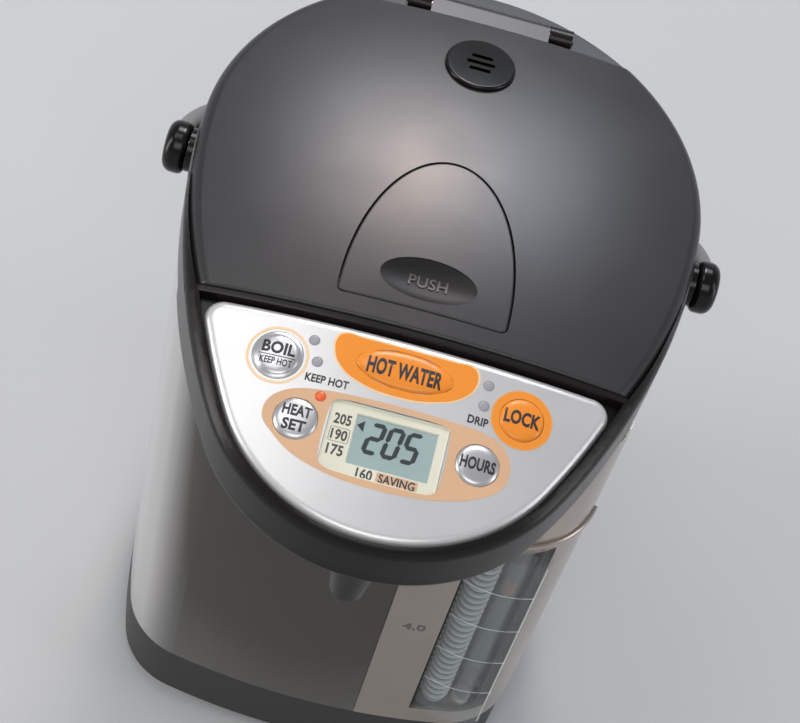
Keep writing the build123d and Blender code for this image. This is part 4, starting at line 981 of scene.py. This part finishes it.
ON_SCREEN = 1.72        # depth of the crystal's own marks, just above the screen
ARROW_RADIUS = 2.6
ARROW_SQUASH = 0.7
on_display(seven_segment("205"), "display_digits", lcd_ink, 1.6, 43.2, ON_SCREEN)
bm = bmesh.new()
bmesh.ops.create_circle(bm, cap_ends=True, segments=3, radius=ARROW_RADIUS)
bmesh.ops.scale(bm, verts=bm.verts[:], vec=(1, ARROW_SQUASH, 1))
bmesh.ops.rotate(bm, verts=bm.verts[:], matrix=Matrix.Rotation(math.pi / 2, 3, "Z"))
on_display(bm, "display_arrow", lcd_ink, -11.2, 39.3, ON_SCREEN)
print("figures on the crystal:", added[-2:])

# %% Printed scale of the display
ON_MASK = 1.16          # depth of the prints on the mask
FIELD_DEPTH = 1.17      # the pale field lies lowest and its word highest
SAVING_DEPTH = 1.14
SAVING_AT = (6.3, 58.0)
FIGURE_HEIGHT = 4.4
BOX_AT = (-18.6, 45.3)
BOX_LINE = 0.22
for words, x, s, width in (("205", -18.6, 38.9, 6.6), ("190", -18.6, 45.3, 6.2),
                           ("175", -18.8, 51.5, 6.4), ("160", -6.1, 58.0, 6.2)):
    figures = lettering(words, width, FIGURE_HEIGHT, 0.03)
    on_display(figures, f"scale_{words}", ink_dark, x, s, ON_MASK)
box = rounded_plate(7.7, 5.9, 0.8)
middle = box.faces[:][0]
push_in(box, middle, BOX_LINE)
bmesh.ops.delete(box, geom=[middle], context="FACES")
on_display(box, "scale_box", ink_grey, *BOX_AT, ON_MASK)
on_display(rounded_plate(15.8, 4.3, 0.5), "saving_field", ink_pale, *SAVING_AT, FIELD_DEPTH)
saving = lettering("SAVING", 13.9, 3.6, 0.032)
on_display(saving, "word_saving", ink_dark, *SAVING_AT, SAVING_DEPTH)
print("prints on the mask:", added[added.index("display_arrow") + 1:])

# %% [markdown]
# ## Finger recess of the lever
# The lever has an oval dish for the finger, with a raised word on its floor. The solid lever
# only has a plain pocket there, so the dish is a bowl turned from a half section, stretched to
# an oval and let down from the domed lid. It lines the pocket from rim to floor.

# %% Dish
DISH_Y = -66.0
DISH_HALF_ACROSS = 19.4
DISH_HALF_ALONG = 9.4
DISH_DEPTH = 1.8
DISH_BEND = 2.4         # a higher power gives a flatter floor and a steeper wall
DISH_SINK = 0.03        # how far the dish's rim lies below the lid's surface
DISH_RINGS = (0, 0.2, 0.36, 0.5, 0.62, 0.72, 0.8, 0.86, 0.91, 0.95, 0.98, 1.0)


def dome_height(x, y):
    """Height of the domed lid at a place, in millimetres."""
    return CROWN_Z - DOME_RADIUS + math.sqrt(DOME_RADIUS**2 - x**2 - y**2)


def bowl_depth(r):
    """How deep the dish is at a share of its radius."""
    return DISH_DEPTH * (1 - min(r, 1.0)**DISH_BEND) + DISH_SINK


def into_dish(bm, name, material):
    """Carry a drawing into the dish; its z is the height above the dish's floor."""
    for vert in bm.verts:
        x, v, rise = vert.co
        r = math.hypot(x / DISH_HALF_ACROSS, v / DISH_HALF_ALONG)
        y = DISH_Y + v
        vert.co = Vector((x, y, dome_height(x, y) - bowl_depth(r) + rise)) * MM
    return as_piece(bm, name, material, "lever", sharp=35)


# The dish is painted darker than the lever's plastic, as shade in the recess.
recess_shade = finish("recess_shade", tone(30, 28, 29), 0.40, ior=1.3, bump=0.03, mottle=0.04)
bm = turned([(r, 0) for r in DISH_RINGS], 96)
if bm.faces[:][0].normal.z < 0:
    bmesh.ops.reverse_faces(bm, faces=bm.faces[:])
bmesh.ops.scale(bm, verts=bm.verts[:], vec=(DISH_HALF_ACROSS, DISH_HALF_ALONG, 1))
into_dish(bm, "lever_dish", recess_shade)
print("dish:", 2 * DISH_HALF_ACROSS, "x", 2 * DISH_HALF_ALONG, "mm")

# %% Raised word
WORD_STEP = 1.2
WORD_HEIGHT = 0.4
# The raised word is painted lighter than the plastic, as a highlight on its letters.
raised_highlight = finish("raised_highlight", tone(66, 63, 65), 0.36, bump=0.02, mottle=0.04)
bm = lettering("PUSH", 15.5, 4.8, 0.01)
slice_up(bm, WORD_STEP, 0)
slice_up(bm, WORD_STEP, 1)
raised = bmesh.ops.extrude_face_region(bm, geom=bm.faces[:])["geom"]
tops = [g for g in raised if isinstance(g, bmesh.types.BMVert)]
bmesh.ops.translate(bm, verts=tops, vec=(0, 0, WORD_HEIGHT))
bmesh.ops.recalc_face_normals(bm, faces=bm.faces[:])
into_dish(bm, "lever_word", raised_highlight)
print("raised word:", added[-1])

# %% [markdown]
# ## Marks on the gauge window
# Four white arcs on the clear window show the level, with a white line along its right edge,
# and the plate beside it has a small capacity figure. They are flat strips dropped onto the
# window or the plate from the front, so that they wrap round its bulge.

# %% Gauge marks
FRONT_Y = -0.3          # the marks are dropped from this far in front, in metres
MARK_RISE = 0.06
ARC_LEVELS = (182.0, 152.0, 122.0, 92.0)
ARC_LEFT = 51.0
ARC_RIGHT = 83.2
ARC_HALF_WIDTH = 0.3
ARC_CUTS = 40
EDGE_LEFT = 82.3
EDGE_RIGHT = 82.8
EDGE_FOOT = 62.0
EDGE_TOP = 207.0
FIGURE_AT = (38.0, 137.0, 0)


def print_from_front(bm, name, material, node):
    """Drop a flat drawing, with x across and y up, onto a part from the front."""
    tree = surface_of(nodes[node].data)
    for vert in bm.verts:
        start = Vector((vert.co.x * MM, FRONT_Y, vert.co.y * MM))
        hit = tree.ray_cast(start, Vector((0, 1, 0)))[0]
        vert.co = hit + Vector((0, -MARK_RISE * MM, 0))
    return as_piece(bm, name, material)


def strip(x0, x1, z0, z1, cuts=1):
    """A flat strip between two corners, cut across its length."""
    bm = bmesh.new()
    bmesh.ops.create_grid(bm, x_segments=cuts, y_segments=1, size=0.5)
    bmesh.ops.scale(bm, verts=bm.verts[:], vec=(x1 - x0, z1 - z0, 1))
    bmesh.ops.translate(bm, verts=bm.verts[:], vec=((x0 + x1) / 2, (z0 + z1) / 2, 0))
    return bm


for level in ARC_LEVELS:
    arc = strip(ARC_LEFT, ARC_RIGHT, level - ARC_HALF_WIDTH, level + ARC_HALF_WIDTH, ARC_CUTS)
    print_from_front(arc, f"gauge_arc_{level:.0f}", ink_white, "gauge_window")
edge = strip(EDGE_LEFT, EDGE_RIGHT, EDGE_FOOT, EDGE_TOP)
print_from_front(edge, "gauge_edge_line", ink_white, "gauge_window")
bm = lettering("4.0", 10.5, 5.6, 0.03)
bmesh.ops.translate(bm, verts=bm.verts[:], vec=FIGURE_AT)
print_from_front(bm, "plate_figure", ink_grey, "gauge_frame")
print("gauge marks:", added[-6:])
